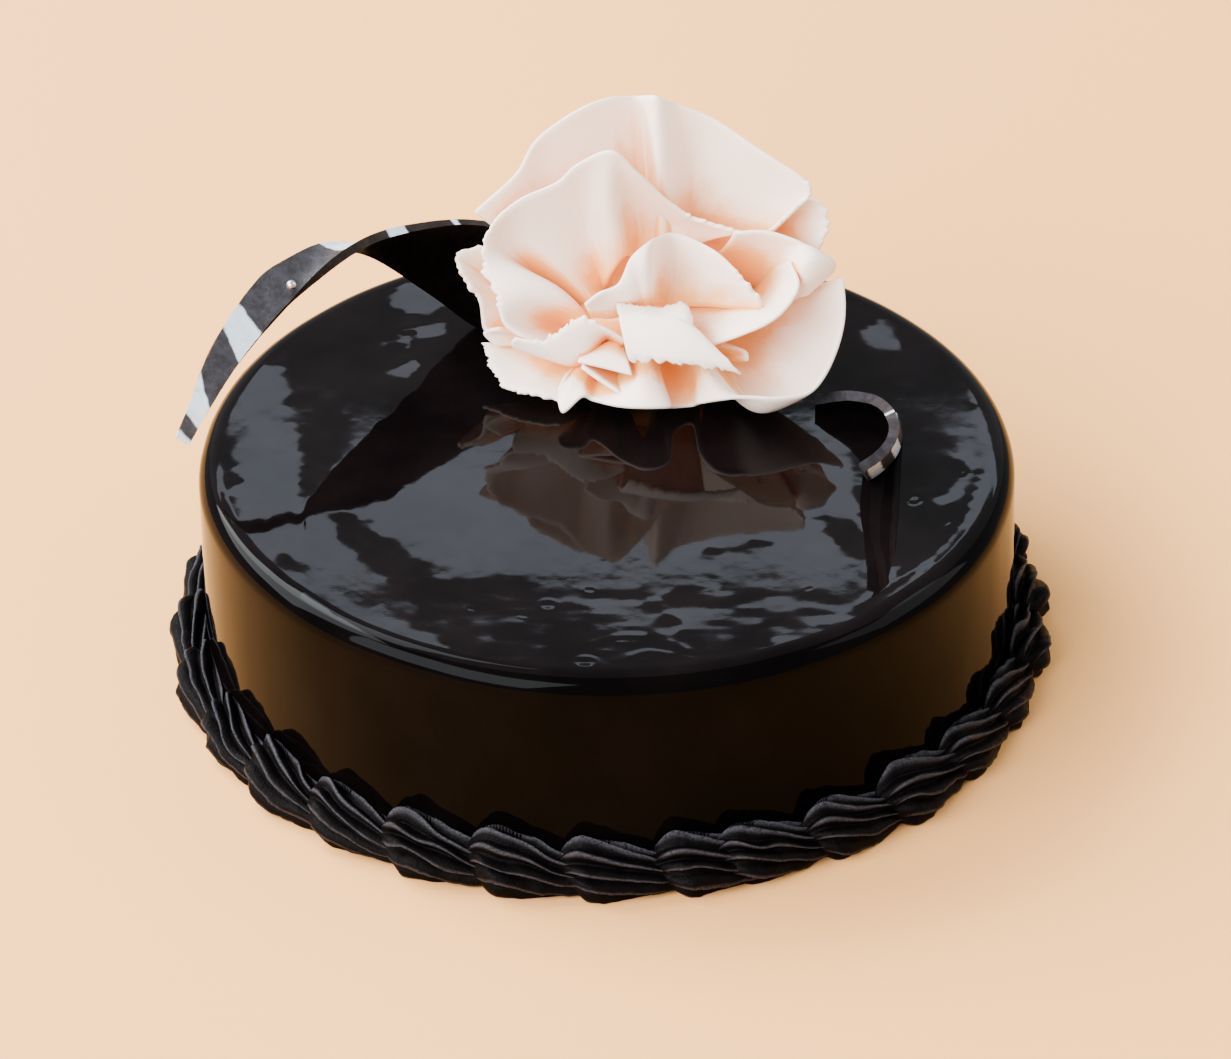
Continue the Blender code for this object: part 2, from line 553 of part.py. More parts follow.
def make_pearl(collection):
    """The silver sugar pearl on the ribbon."""
    rows = ribbon_rows(RIBBON_STEPS * 4, 1)
    row = round(PEARL_ALONG * RIBBON_STEPS * 4)
    near, far = rows[row]
    normal = (rows[row + 1][0] - rows[row - 1][0]).cross(far - near).normalized()
    pearl = bmesh.new()
    bmesh.ops.create_uvsphere(pearl, u_segments=12, v_segments=8, radius=PEARL_RADIUS)
    place = near.lerp(far, PEARL_ACROSS) + normal * (RIBBON_THICKNESS / 2 + PEARL_RADIUS + GAP)
    bmesh.ops.translate(pearl, verts=pearl.verts[:], vec=place)
    new_object("sugar_pearl", pearl, collection, paint("silver_sugar", (0.7, 0.68, 0.66), 0.25, 0.9))


def main():
    """Clears the scene and makes the six solids."""
    for piece in list(bpy.data.objects):
        bpy.data.objects.remove(piece)
    cake = bpy.data.collections.new("chocolate_cake")
    bpy.context.scene.collection.children.link(cake)
    make_cake(cake)
    make_border(cake)
    make_flower(cake)
    make_ribbon(cake)
    make_curl(cake)
    make_pearl(cake)


main()
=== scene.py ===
"""Chocolate truffle cake: a mirror-glazed round cake with a piped shell border, a ruffled
flower of rolled petals, a striped chocolate ribbon, a small chocolate curl and a sugar pearl.

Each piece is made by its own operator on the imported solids' frame: metres, +Z up, the
origin at the centre of the cake's underside, and -Y the front. Sizes and colours are
properties of the scene, and the sidebar's Cake tab lists the operators.
"""

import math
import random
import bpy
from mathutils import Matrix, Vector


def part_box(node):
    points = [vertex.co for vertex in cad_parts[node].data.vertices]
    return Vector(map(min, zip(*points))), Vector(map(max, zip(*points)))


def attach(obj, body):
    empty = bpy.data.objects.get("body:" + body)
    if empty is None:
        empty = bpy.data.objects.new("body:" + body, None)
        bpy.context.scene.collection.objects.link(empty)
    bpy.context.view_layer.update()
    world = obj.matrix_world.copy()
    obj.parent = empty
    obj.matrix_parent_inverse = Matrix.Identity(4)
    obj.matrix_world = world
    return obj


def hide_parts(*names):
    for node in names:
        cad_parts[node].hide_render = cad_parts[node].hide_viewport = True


bl_info = {
    "name": "Chocolate Truffle Cake",
    "version": (1, 0, 0),
    "blender": (4, 5, 0),
    "location": "View3D > Sidebar > Cake",
    "description": "Builds a glazed chocolate cake with a piped border, a flower and garnishes",
    "category": "Add Mesh",
}

import bmesh
import bpy
import numpy as np
from bpy.props import FloatProperty, FloatVectorProperty, IntProperty, PointerProperty
from bpy.types import Operator, Panel, PropertyGroup
from mathutils import Matrix, Vector
from mathutils.bvhtree import BVHTree

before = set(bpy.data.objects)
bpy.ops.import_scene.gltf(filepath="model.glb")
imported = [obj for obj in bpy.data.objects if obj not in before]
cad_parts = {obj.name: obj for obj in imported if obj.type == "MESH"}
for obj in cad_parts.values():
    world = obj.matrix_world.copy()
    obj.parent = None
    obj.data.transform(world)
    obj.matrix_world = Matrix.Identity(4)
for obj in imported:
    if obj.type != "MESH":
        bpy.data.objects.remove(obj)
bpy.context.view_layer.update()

MM = 0.001

# The gap that a piece keeps to the floor, to the cake's side and to its top, in metres.
CLEARANCE = 0.0003

# The photograph's camera: its place, how far it looks down, its roll, its lens and how
# near and how far it sees.
PHOTO_WIDTH = 1231
FOCAL_PIXELS = 7500.0
SENSOR = 36.0
CAMERA_PLACE = Vector((0.0017, -1.4862, 1.0396))
CAMERA_PITCH = math.radians(34.09)
CAMERA_ROLL = math.radians(-1.23)
NEAREST = 0.05
FARTHEST = 20.0

# Flower: petals are drawn in its own face frame, which is tipped back to look up and
# forward. A point there is (across, up, forward) in millimetres from the heart. The core
# is a flattened ball that the petals hide, with so many rows and columns of points, and an
# angle that is left open at its poles.
FLOWER_HEART = np.array((3.3, 39.8, 70.0)) * MM
FACE_TILT = math.radians(34.0)
CORE_CENTRE = (8.4, -2.3, -1.0)
CORE_RADII = (20.0, 9.0, 9.0)
CORE_GRID = (24, 48)
CORE_GAP = 0.02

# Each petal is a row of ribs, side by side along its rim. A rib is its rim, belly and root,
# as (across, up, forward) in millimetres. One without a belly is bowed forward by the
# petal's bow, in millimetres, or back if that is below zero. Last come the stretches of
# its rim, as shares of its length, that are torn and not smooth.
PETALS = {
    "back_fan": ([
        ((-33.5, 24.5, 12.5), (-4, 2, -6)), ((-23.5, 33, 13), (-3, 3, -6)),
        ((-18.5, 41, 15), (-2, 3, -6)), ((-9, 47.5, 17.5), (-1, 3, -6)),
        ((-1, 50.5, 16), (1, 3, -6)), ((6, 51, 12), (8, 29.5, -1), (6, 3, -7)),
        ((10, 50.5, 20), (11, 28.5, 10), (11, 3, -6)), ((16, 48.5, 16), (17, 27.5, 3), (12, 3, -6)),
        ((24, 45, 15), (14, 3, -6)), ((34.5, 37.5, 17), (16, 3, -6)),
        ((46.5, 28.5, 18.5), (18, 2, -6)), ((43, 23.5, 16), (19, 2, -6)),
        ((37.5, 18.5, 13.5), (32.5, 14.5, 5), (20, 2, -6))], -5.0, [(0.87, 1.0)]),
    "bowl": ([
        ((30, 18, 15), (20, 16, 6), (10.5, 11.5, -2)), ((16.5, 23, 12.5), (11.5, 20, 3), (7, 13, -1)),
        ((5.5, 32, 21.5), (5, 24, 7), (4.5, 13, -1)), ((-0.5, 37.5, 25), (-1, 26, 17), (2, 13.5, 6)),
        ((-9, 34.5, 21.5), (-5.5, 21, 9.5), (-2, 8.5, 3)),
        ((-14, 30.5, 18.5), (-8, 18, 6.5), (-3, 5.5, -5)),
        ((-23.5, 26.5, 16.5), (-16.5, 14, 6.5), (-5.5, 2, 1)),
        ((-30.5, 19.5, 15), (-19, 8.5, 0), (-6, -2, -3)),
        ((-31.5, 11.5, 12), (-16.5, 7, 10.5), (-7, -2.5, 5)),
        ((-28.5, 4, 13.5), (-16, 2.5, 11), (-8.5, -3, 4)),
        ((-26.5, -3, 14), (-16.5, -2.5, 2), (-10.5, -4.5, -3)),
        ((-18.5, -8, 13), (-15, -6.5, 7), (-9, -7, -1))], 0.0, [(0.0, 0.14), (0.66, 0.86)]),
    "front_lip": ([
        ((-24.5, -6, 14.5), (-22.5, -8.5, 9), (-8, -7, 0)),
        ((-18.5, -7, 15.5), (-16.5, -11, 10.5), (-7, -7.5, 1)),
        ((-13.5, -4.5, 18), (-11.5, -12.5, 12), (-5, -8, 2)),
        ((-9, -2, 20), (-7.5, -10.5, 14), (-4.5, -8.5, 2)),
        ((-3, -4.5, 20.5), (-3, -6, 14), (-3, -8, 3)), ((1.5, -7, 19.5), (1, -8, 14), (-1.5, -8.5, 4))],
        0.0, [(0.15, 0.75)]),
    "loop": ([
        ((-7.5, 1.5, 21), (-6, -1, 17)), ((-4, 4, 22.5), (-1.5, -1.5, 16)),
        ((0.5, 6, 22), (2.5, 2.5, 20), (3, 0, 15)), ((3.5, 12, 22.5), (5, 6, 21), (6.5, -0.5, 14)),
        ((7.5, 15.5, 22.5), (7.5, 8.5, 22), (8, 1, 15)), ((10, 17, 17), (9.5, 9, 13), (10, 1.5, 9)),
        ((13.5, 18, 14), (13.5, 9, 9), (13.5, 1, 7)), ((19, 16, 15.5), (20, 8, 12), (21, 1, 10)),
        ((25.5, 11.5, 19.5), (26.5, 5.5, 16), (29, 0, 14)),
        ((33.5, 2.5, 23), (34, 1, 21), (35, -1, 20))], 0.0, [(0.86, 1.0)]),
    "lower_cup": ([
        ((21, -9, 17.5), (18, -4.5, 11), (14, 1, 5)), ((25, -8, 22), (23.5, -4, 15), (20.5, 1, 6)),
        ((34.5, -4.5, 27), (30.5, -1.5, 18), (27, 1.5, 5)),
        ((40, -0.5, 26), (35.5, 1, 16), (31.5, 2.5, 2)), ((43, 5, 23), (38.5, 5.5, 12), (34, 5.5, 0)),
        ((41.5, 10.5, 19), (38.5, 10, 9), (35, 9, 1))], 0.0, []),
    "right_cup": ([
        ((28.5, 18, 16), (26, 14.5, 9), (21, 10.5, 3)), ((35.5, 18, 16.5), (33, 13.5, 8), (29, 7.5, 0)),
        ((43, 15.5, 17.5), (39.5, 12.5, 11), (33.5, 5, -1)),
        ((49, 12.5, 17.5), (43, 10, 19.5), (36.5, 3.5, 0)),
        ((52, 9, 17), (44, 6.5, 19.5), (39, 2.5, 5)),
        ((45.5, 3, 15), (43.5, 2.5, 15.5), (42, 2, 12))], 0.0, []),
    "front_flap": ([
        ((2.5, -11.5, 24.5), (0.5, -1, 22)), ((10.5, -12.5, 27.5), (8, -2, 23.5)),
        ((19.5, -13.5, 28.5), (16, -3.5, 25)), ((28.5, -15.5, 28), (24, -11.5, 27))],
        1.0, [(0.0, 1.0)]),
    "flap_lip": ([
        ((0, 1.5, 20), (0.5, -1, 22)), ((9.5, 0, 19), (9.5, -2.5, 23.5)),
        ((15.5, 1, 19), (15.5, -3.5, 25)), ((17.5, -2.5, 21), (17.5, -4.5, 25))], 0.0, [(0.0, 1.0)]),
    "flap_web": ([
        ((0.5, -1.5, 22), (3, -5.5, 4)), ((10.5, -3, 24), (10.5, -6, 4)),
        ((20.5, -8, 26), (17.5, -8, 4))], 0.0, []),
    "skirt": ([
        ((54, 6.5, 13), (41.5, 3, 6), (28.5, -1, -2)), ((54, -2.5, 16.5), (41, -5, 6), (27, -3, -2)),
        ((51.5, -11.5, 20), (39, -13, 8), (25, -5, -2)), ((46, -20, 23), (36, -20, 11), (23.5, -7, -1)),
        ((38, -22, 26), (31, -23.5, 15), (21, -8.5, 2)), ((31, -21.5, 27), (26, -19.5, 21), (20, -9.5, 10)),
        ((24, -22, 26.5), (21.5, -17, 22.5), (19.5, -10, 13)),
        ((19.5, -22.5, 22), (19.5, -17.5, 17), (19, -10.5, 7)),
        ((17.5, -23, 14.5), (17.5, -17.5, 7), (17, -10.5, -2)),
        ((12.5, -23.5, 17), (10.5, -18, 10), (10, -10.5, -1)),
        ((11.5, -23.5, 24.5), (10, -18, 20), (7.5, -10.5, 11)),
        ((6, -23.5, 26), (5.5, -18, 22.5), (5, -10.5, 12.5)),
        ((0, -23, 23), (1.5, -18, 18.5), (2, -11, 6)), ((-6, -21.5, 18), (-5, -17, 9), (-2.5, -11, -1)),
        ((-9, -20.5, 19.5), (-8, -16, 13), (-4.5, -11, 4)),
        ((-13.5, -24, 21), (-11, -17.5, 16), (-6.5, -11, 6.5)),
        ((-14.5, -19.5, 17), (-11.5, -15, 12), (-7.5, -10.5, 5)),
        ((-12.5, -15, 13.5), (-10.5, -13, 10), (-8, -10, 5))], 0.0, [(0.955, 1.0)]),
    "left_skirt": ([
        ((-32.5, -7, 3), (-11.5, -8, 1)), ((-28.5, -16, 8.5), (-9.5, -10, 1)),
        ((-24.5, -18.5, 11), (-8.5, -11, 2)), ((-18, -20, 13), (-7, -11.5, 4)),
        ((-14.5, -21.5, 14), (-6, -11.5, 5))], 0.5, [(0.0, 1.0)]),
    "left_tuck": ([
        ((-28.5, -3.5, 9), (-14, -5.5, 0)), ((-32, -4.5, 7), (-13, -6.5, 0)),
        ((-29.5, -7.5, 6), (-12, -7.5, 0))], 0.0, []),
    "small_leaf": ([
        ((-9.5, -12, 18), (-8, -10.5, 13), (-4, -8, 2)), ((-3.5, -13.5, 20), (-2, -8, 14), (-1.5, -8, 2)),
        ((3, -15.5, 21.5), (1.5, -10, 16), (1.5, -8.5, 4))], 0.0, []),
    "thin_leaf": ([
        ((-8.5, -13.5, 19), (-7.5, -12, 14), (-4, -9.5, 3)),
        ((0.5, -20, 21), (1, -18, 15), (0, -11, 3))], 0.0, []),
    "far_left": ([
        ((-33, 16.5, 3), (-23.5, 12, 0), (-8, 2, -6)), ((-38.5, 14, 4), (-26.5, 8.5, -3), (-8.5, 0, -6)),
        ((-36.5, 9, 6), (-26, 6, -2), (-9, -2, -5)), ((-33, 3, 6), (-23.5, 2, 1), (-9, -2.5, -4)),
        ((-32, -3.5, 4), (-22.5, -3, 0), (-9, -4, -3)), ((-29, -3.5, 5), (-21, -4.5, 1), (-9, -5, -3))],
        0.0, [(0.1, 0.6)]),
    "right_back": ([
        ((43.5, 26, 12), (17.5, 6.5, -8)), ((48.5, 25, 12.5), (18.5, 6, -8)),
        ((50.5, 20, 11.5), (20, 5.5, -8)), ((48.5, 13.5, 10), (23, 3, -8))], -2.0, [(0.3, 0.9)]),
    "tiny_curl": ([
        ((24.5, -8.5, 12), (21.5, -9.5, 2)), ((30, -10.5, 15), (24, -11, 2)),
        ((30.5, -12.5, 15.5), (24.5, -12, 2))], 0.0, []),
    "back_frill": ([
        ((-8, 20, -9), (2, 1, -8)), ((-1, 24, -8.5), (5, 1, -8)), ((6, 21.5, -13.5), (8, 0, -9)),
        ((14, 24.5, -9.5), (12, 0, -9)), ((22, 21, -14), (15, 0, -9)), ((30, 21.5, -9.5), (18, 0, -8)),
        ((36, 14, -9), (21, 0, -7))], -1.0, []),
}

# Ribbon: the near and the far long edge, as (x, y, height over the glaze) in millimetres.
RIBBON_NEAR = [(-98.5, -11.6, 9.5), (-91.9, -5.6, 18.5), (-84.9, 4.5, 24.6), (-74.4, 18.5, 30.3),
               (-63.7, 28.7, 35.4), (-55.4, 34.9, 37.6), (-48.3, 40.4, 36.9), (-38.9, 47.8, 34.3),
               (-30.6, 52.4, 31.7), (-15.0, 55.0, 27.5)]
RIBBON_FAR = [(-101.3, -10.8, 11.5), (-97.8, -6.3, 18.4), (-94.1, 0.9, 25.4), (-89.4, 10.6, 29.8),
              (-82.3, 22.3, 33.9), (-75.5, 28.8, 35.8), (-67.1, 40.0, 32.8), (-59.5, 47.0, 28.0),
              (-52.5, 50.5, 22.3), (-40.9, 54.5, 9.8), (-29.5, 55.5, -0.4), (-15.0, 57.0, -4.0)]

# Curl: its near edge, as (x, y, height over the glaze) in millimetres. From it the curl
# runs back and down into the glaze along CURL_REACH.
CURL_EDGE = [(50.0, 16.0, 3.2), (56.4, 12.6, 6.5), (60.1, 10.2, 7.8), (63.5, 5.0, 10.3),
             (66.0, -2.0, 12.6), (67.3, -10.0, 14.7), (67.5, -17.0, 15.8), (66.0, -25.0, 17.1),
             (62.9, -32.0, 18.1), (59.0, -37.0, 18.3)]
CURL_REACH = np.array((0.067, 0.785, -0.617))

# Points along a curve that its length is measured with, and the least length that a
# direction is divided by.
CURVE_SAMPLES = 600
TINY = 1e-12


class GlazeSettings(PropertyGroup):
    """The glazed cake: its form and its finish."""
    radius: FloatProperty(name="Radius", description="Radius of the glazed cake", default=0.097,
                          unit="LENGTH")
    height: FloatProperty(name="Height", description="Height at the middle of the top", default=0.0568,
                          unit="LENGTH")
    rim: FloatProperty(name="Rim rounding", description="Radius of the rim's rounding", default=0.0055,
                       unit="LENGTH")
    foot: FloatProperty(name="Foot rounding", description="Radius of the foot's rounding", default=0.0008,
                        unit="LENGTH")
    lean_right: FloatProperty(name="Lean right", description="Drop of the top for each metre to the right",
                              default=0.0158, precision=4)
    lean_back: FloatProperty(name="Lean back", description="Drop of the top for each metre to the back",
                             default=0.0093, precision=4)
    unevenness: FloatProperty(name="Unevenness", description="Strength of the glaze's waves and ripples",
                              default=1.0)
    colour: FloatVectorProperty(name="Colour", description="Colour of the glaze", subtype="COLOR",
                                default=(0.0018, 0.0012, 0.0013), size=3)
    gleam: FloatVectorProperty(name="Gleam", description="Tint of what the glaze mirrors", subtype="COLOR",
                               default=(0.84, 0.96, 1.0), size=3)
    roughness: FloatProperty(name="Roughness", description="Roughness of the glaze", default=0.035,
                             min=0.0, max=1.0, subtype="FACTOR")


class BorderSettings(PropertyGroup):
    """The piped shells: their number, their form and their finish."""
    count: IntProperty(name="Shells", description="Number of piped shells", default=29)
    start: FloatProperty(name="Start", description="Where the first shell's head lies",
                         default=math.radians(-73.4), subtype="ANGLE")
    last_span: FloatProperty(name="Last span", description="Room that is left for the last shell",
                             default=math.radians(8.4), subtype="ANGLE")
    ring: FloatProperty(name="Ring radius", description="Radius of the ring through the shells' middles",
                        default=0.0984, unit="LENGTH")
    length: FloatProperty(name="Shell length", description="Length of a shell from head to tail",
                          default=0.030, unit="LENGTH")
    reach_back: FloatProperty(name="Reach back", description="How far a head covers the tail behind it",
                              default=0.0045, unit="LENGTH")
    half_width: FloatProperty(name="Half width", description="Half a shell's width", default=0.0082,
                              unit="LENGTH")
    half_height: FloatProperty(name="Half height", description="Half a shell's height", default=0.0096,
                               unit="LENGTH")
    centre_height: FloatProperty(name="Middle height", description="Height of a shell's middle",
                                 default=0.0064, unit="LENGTH")
    shear: FloatProperty(name="Shear", description="How far a head's top reaches back",
                         default=0.0026, unit="LENGTH")
    ridges: IntProperty(name="Ridges", description="Number of ridges that the nozzle cuts", default=11)
    ridge_depth: FloatProperty(name="Ridge depth", description="Depth of a groove as a share of the radius",
                               default=0.40, min=0.0, max=1.0, subtype="FACTOR")
    seed: IntProperty(name="Seed", description="Seed of the shells' differences", default=4)
    colour: FloatVectorProperty(name="Colour", description="Colour of the piped chocolate", subtype="COLOR",
                                default=(0.0012, 0.0009, 0.0010), size=3)
    # Painted highlight: the lip colour stands for the lights caught on the ridges' crests.
    lip: FloatVectorProperty(name="Lip colour", description="Colour of the ridges' dry lips",
                             subtype="COLOR", default=(0.042, 0.041, 0.050), size=3)


class FlowerSettings(PropertyGroup):
    """The petals: their thickness, their torn rims and their colours."""
    thickness: FloatProperty(name="Petal thickness", description="Thickness of the rolled petals",
                             default=0.0011, unit="LENGTH")
    tear: FloatProperty(name="Tear", description="Length of the teeth along a torn rim",
                        default=0.0012, unit="LENGTH")
    colour: FloatVectorProperty(name="Petal colour", description="Colour of the petals' faces",
                                subtype="COLOR", default=(0.99, 0.82, 0.725), size=3)
    # Painted shade: this orange stands for shade, and the glow of light through the sugar, in the depths
    # between the petals and at their roots. Darker flecks of it also speckle the faces at random.
    shade_and_fleck: FloatVectorProperty(name="Blush", description="Colour in the depths between the petals",
                               subtype="COLOR", default=(0.93, 0.455, 0.135), size=3)
    glow: FloatProperty(name="Glow depth", description="How deep light spreads under a petal's face",
                        default=0.002, unit="LENGTH")


class GarnishSettings(PropertyGroup):
    """The ribbon, the curl and the pearl: their sizes and their colours."""
    ribbon: FloatProperty(name="Ribbon thickness", description="Thickness of the chocolate ribbon",
                          default=0.0022, unit="LENGTH")
    curl: FloatProperty(name="Curl thickness", description="Thickness of the chocolate curl",
                        default=0.0024, unit="LENGTH")
    pearl: FloatProperty(name="Pearl radius", description="Radius of the sugar pearl", default=0.00125,
                         unit="LENGTH")
    chocolate: FloatVectorProperty(name="Chocolate", description="Colour of the outer faces",
                                   subtype="COLOR", default=(0.0130, 0.0122, 0.0152), size=3)
    # Painted shade: the inner faces' near-black colour stands for the shade under the curled strips.
    inside: FloatVectorProperty(name="Inside", description="Colour of the inner faces", subtype="COLOR",
                                default=(0.0012, 0.0007, 0.0006), size=3)
    edge: FloatVectorProperty(name="Edge", description="Colour of the cut edges", subtype="COLOR",
                              default=(0.0090, 0.0068, 0.0060), size=3)
    stripe: FloatVectorProperty(name="Stripes", description="Colour of the white chocolate stripes",
                                subtype="COLOR", default=(0.45, 0.53, 0.61), size=3)
    silver: FloatVectorProperty(name="Silver", description="Colour of the sugar pearl", subtype="COLOR",
                                default=(0.62, 0.60, 0.57), size=3)


class StudioSettings(PropertyGroup):
    """The floor's colour and how bright each light is."""
    floor: FloatVectorProperty(name="Floor", description="Colour of the floor", subtype="COLOR",
                               default=(0.86, 0.417, 0.132), size=3)
    key: FloatProperty(name="Key light", description="Radiance of the softbox over the left", default=19.5)
    front: FloatProperty(name="Front light", description="Radiance of the panel at the left front",
                         default=16.0)
    right: FloatProperty(name="Right light", description="Radiance of the panel at the right", default=4.5)
    top: FloatProperty(name="Top light", description="Radiance of the panel high behind the left",
                       default=10.0)
    back: FloatProperty(name="Back light", description="Radiance of the strip behind", default=6.2)
    fill: FloatProperty(name="Fill", description="Strength of the light from all round", default=0.8)


def millimetres(size):
    """A size from the settings in millimetres."""
    return size / MM


def lumps(points, size, seed):
    """Smooth noise from -1 to 1 at each point, with lumps of the given size. Its value at a
    corner of the grid of lumps is scrambled from the corner's place and the seed."""
    spot = np.asarray(points, float) / size + seed * 7.31
    cell = np.floor(spot).astype(np.int64)
    part = spot - cell
    ease = part ** 3 * (part * (part * 6 - 15) + 10)
    total = np.zeros(spot.shape[:-1])
    for corner in np.ndindex(2, 2, 2):
        x, y, z = np.moveaxis(cell + corner, -1, 0)
        mixed = (x * 73856093) ^ (y * 19349663) ^ (z * 83492791) ^ (seed * 961748927)
        mixed = ((mixed ^ (mixed >> 13)) * 1274126177) & 0x7FFFFFFF
        value = ((mixed ^ (mixed >> 15)) & 0xFFFF) / 32767.5 - 1
        total += value * np.prod(np.where(corner, ease, 1 - ease), axis=-1)
    return total


def layered_lumps(points, layers, seed):
    """Noise in layers, each as (height, size of its lumps), at points in millimetres."""
    return sum(height * lumps(points, size, seed + k) for k, (height, size) in enumerate(layers))


def ease_between(value, low, high):
    """0 below low, 1 above high and a smooth step between them."""
    share = np.clip((value - low) / (high - low), 0, 1)
    return share * share * (3 - 2 * share)


def curve_points(points, values):
    """Points at the values, 0 to 1, of a smooth curve through the given points, which lie at
    even steps of the value."""
    points = np.asarray(points, float)
    last = len(points) - 1
    place = np.clip(np.asarray(values, float), 0, 1) * last
    i = np.minimum(place.astype(int), last - 1)
    u = (place - i)[:, None]
    longer = np.vstack([points[0] * 2 - points[1], points, points[-1] * 2 - points[-2]])
    a, b, c, d = longer[i], longer[i + 1], longer[i + 2], longer[i + 3]
    bend = (a * 2 - b * 5 + c * 4 - d) * u ** 2 + (b * 3 - a - c * 3 + d) * u ** 3
    return b + ((c - a) * u + bend) / 2


def lengths_along(points, axis=0):
    """Distance to each point from the first one of its row or column in a grid of points."""
    steps = np.linalg.norm(np.diff(points, axis=axis), axis=-1)
    return np.insert(np.cumsum(steps, axis=axis), 0, 0.0, axis=axis)


def even_values(points, spacing=None, count=None):
    """Values at even lengths along the curve through the points: so many steps where a
    count is given, and otherwise steps of about the spacing."""
    fine = np.linspace(0, 1, CURVE_SAMPLES)
    reach = lengths_along(curve_points(points, fine))
    count = count or max(3, round(reach[-1] / spacing))
    return np.interp(np.linspace(0, reach[-1], count + 1), reach, fine)


def face_point(place):
    """World places of points given in the flower's face frame, in millimetres."""
    place = np.asarray(place, float)
    upward = np.array((0.0, math.sin(FACE_TILT), math.cos(FACE_TILT)))
    outward = np.array((0.0, -math.cos(FACE_TILT), math.sin(FACE_TILT)))
    across = np.array((1.0, 0.0, 0.0))
    axes = np.stack([across, upward, outward])
    return FLOWER_HEART + place @ axes * MM


def glaze_height(glaze, x, y):
    """Height of the cake's flat top over a point of the floor."""
    return glaze.height - glaze.lean_right * x - glaze.lean_back * y


def above_glaze(glaze, points):
    """World points from (x, y, height over the glaze) rows in millimetres."""
    x, y, height = np.asarray(points, float).T * MM
    return np.stack([x, y, glaze_height(glaze, x, y) + height], axis=1)


def stop_at_glaze(glaze, points):
    """Lifts the points that lie under the cake's flat top to just over it."""
    floor = glaze_height(glaze, points[:, 0], points[:, 1]) + CLEARANCE
    points[:, 2] = np.maximum(points[:, 2], floor)


def grid_faces(rows, columns, closed=False, first=0):
    """The four-sided faces of a grid of points, row by row."""
    i = np.arange(rows - 1)[:, None]
    j = np.arange(columns if closed else columns - 1)[None, :]
    a = first + i * columns + j
    b = first + i * columns + (j + 1) % columns
    return np.stack([a, b, b + columns, a + columns], axis=-1).reshape(-1, 4)


def tube_faces(rows, columns, first=0):
    """The faces round a closed tube of points, and one more over each of its ends."""
    last = first + (rows - 1) * columns
    ends = [list(range(first, first + columns)), list(range(last, last + columns))]
    return grid_faces(rows, columns, closed=True, first=first).tolist() + ends


def ball_grid(rows, columns, gap):
    """Points of a ball of radius 1 from its lowest ring to its highest. The gap is the angle
    between those two rings and the poles."""
    turn = np.linspace(0, 2 * math.pi, columns, endpoint=False)[None, :]
    rise = np.linspace(-math.pi / 2 + gap, math.pi / 2 - gap, rows)[:, None]
    return np.stack([np.cos(rise) * np.cos(turn), np.cos(rise) * np.sin(turn),
                     np.broadcast_to(np.sin(rise), (rows, columns))], axis=-1)


def row_normals(middle):
    """Unit normals of a grid of points."""
    du = np.gradient(middle, axis=0)
    dv = np.gradient(middle, axis=1)
    normal = np.cross(du, dv)
    return normal / np.maximum(np.linalg.norm(normal, axis=-1, keepdims=True), TINY)


def thin_leaf(middle, thickness, rounding):
    """Points and faces of a closed thin leaf around a grid of its middle surface, and the
    number of the grid point that each of its points belongs to. The rounding is how far its
    rim bulges, as a share of half the thickness."""
    rows, columns = middle.shape[:2]
    half = np.broadcast_to(np.asarray(thickness) / 2, (rows, columns))[..., None]
    normal = row_normals(middle) * half
    edge = [(i, 0) for i in range(rows)]
    edge += [(rows - 1, j) for j in range(1, columns)]
    edge += [(i, columns - 1) for i in range(rows - 2, -1, -1)]
    edge += [(0, j) for j in range(columns - 2, 0, -1)]
    edge = np.array(edge)
    inner = np.clip(edge, 1, (rows - 2, columns - 2))
    outward = middle[edge[:, 0], edge[:, 1]] - middle[inner[:, 0], inner[:, 1]]
    outward /= np.maximum(np.linalg.norm(outward, axis=1, keepdims=True), TINY)
    lip = middle[edge[:, 0], edge[:, 1]] + outward * half[edge[:, 0], edge[:, 1]] * rounding
    points = np.concatenate([(middle + normal).reshape(-1, 3), (middle - normal).reshape(-1, 3), lip])
    count = rows * columns
    numbers = edge[:, 0] * columns + edge[:, 1]
    following = np.roll(numbers, -1)
    ring = 2 * count + np.arange(len(edge))
    ring_next = np.roll(ring, -1)
    faces = np.concatenate([
        grid_faces(rows, columns),
        grid_faces(rows, columns, first=count)[:, ::-1],
        np.stack([numbers, ring, ring_next, following], axis=1),
        np.stack([numbers + count, following + count, ring_next, ring], axis=1)])
    owner = np.concatenate([np.arange(count), np.arange(count), numbers])
    return points, faces, owner


def new_piece(name, points, faces, material, node):
    """A smooth mesh object that rides on the cake and stands for a node of the frame."""
    mesh = bpy.data.meshes.new(name)
    mesh.from_pydata(points.tolist(), [], faces)
    shape = bmesh.new()
    shape.from_mesh(mesh)
    bmesh.ops.recalc_face_normals(shape, faces=shape.faces[:])
    shape.to_mesh(mesh)
    shape.free()
    mesh.shade_smooth()
    mesh.materials.append(material)
    piece = bpy.data.objects.new(name, mesh)
    bpy.context.scene.collection.objects.link(piece)
    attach(piece, "root")
    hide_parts(node)
    return piece


def paint_points(piece, name, values):
    """Stores a number or a vector for each point of a piece, for its material to read."""
    values = np.asarray(values, np.float32)
    kind, field = ("FLOAT", "value") if values.ndim == 1 else ("FLOAT_VECTOR", "vector")
    layer = piece.data.attributes.new(name, kind, "POINT")
    layer.data.foreach_set(field, values.ravel())


def new_material(name):
    """A new material with its node tree and its shader."""
    material = bpy.data.materials.new(name)
    material.use_nodes = True
    return material, material.node_tree, material.node_tree.nodes["Principled BSDF"]


def add_node(tree, kind, inputs=None, **settings):
    """A new node with its settings, and its inputs joined to sockets or set to values."""
    made = tree.nodes.new(kind)
    for setting, value in settings.items():
        setattr(made, setting, value)
    for socket, value in (inputs or {}).items():
        if isinstance(value, bpy.types.NodeSocket):
            tree.links.new(value, made.inputs[socket])
        else:
            made.inputs[socket].default_value = value
    return made


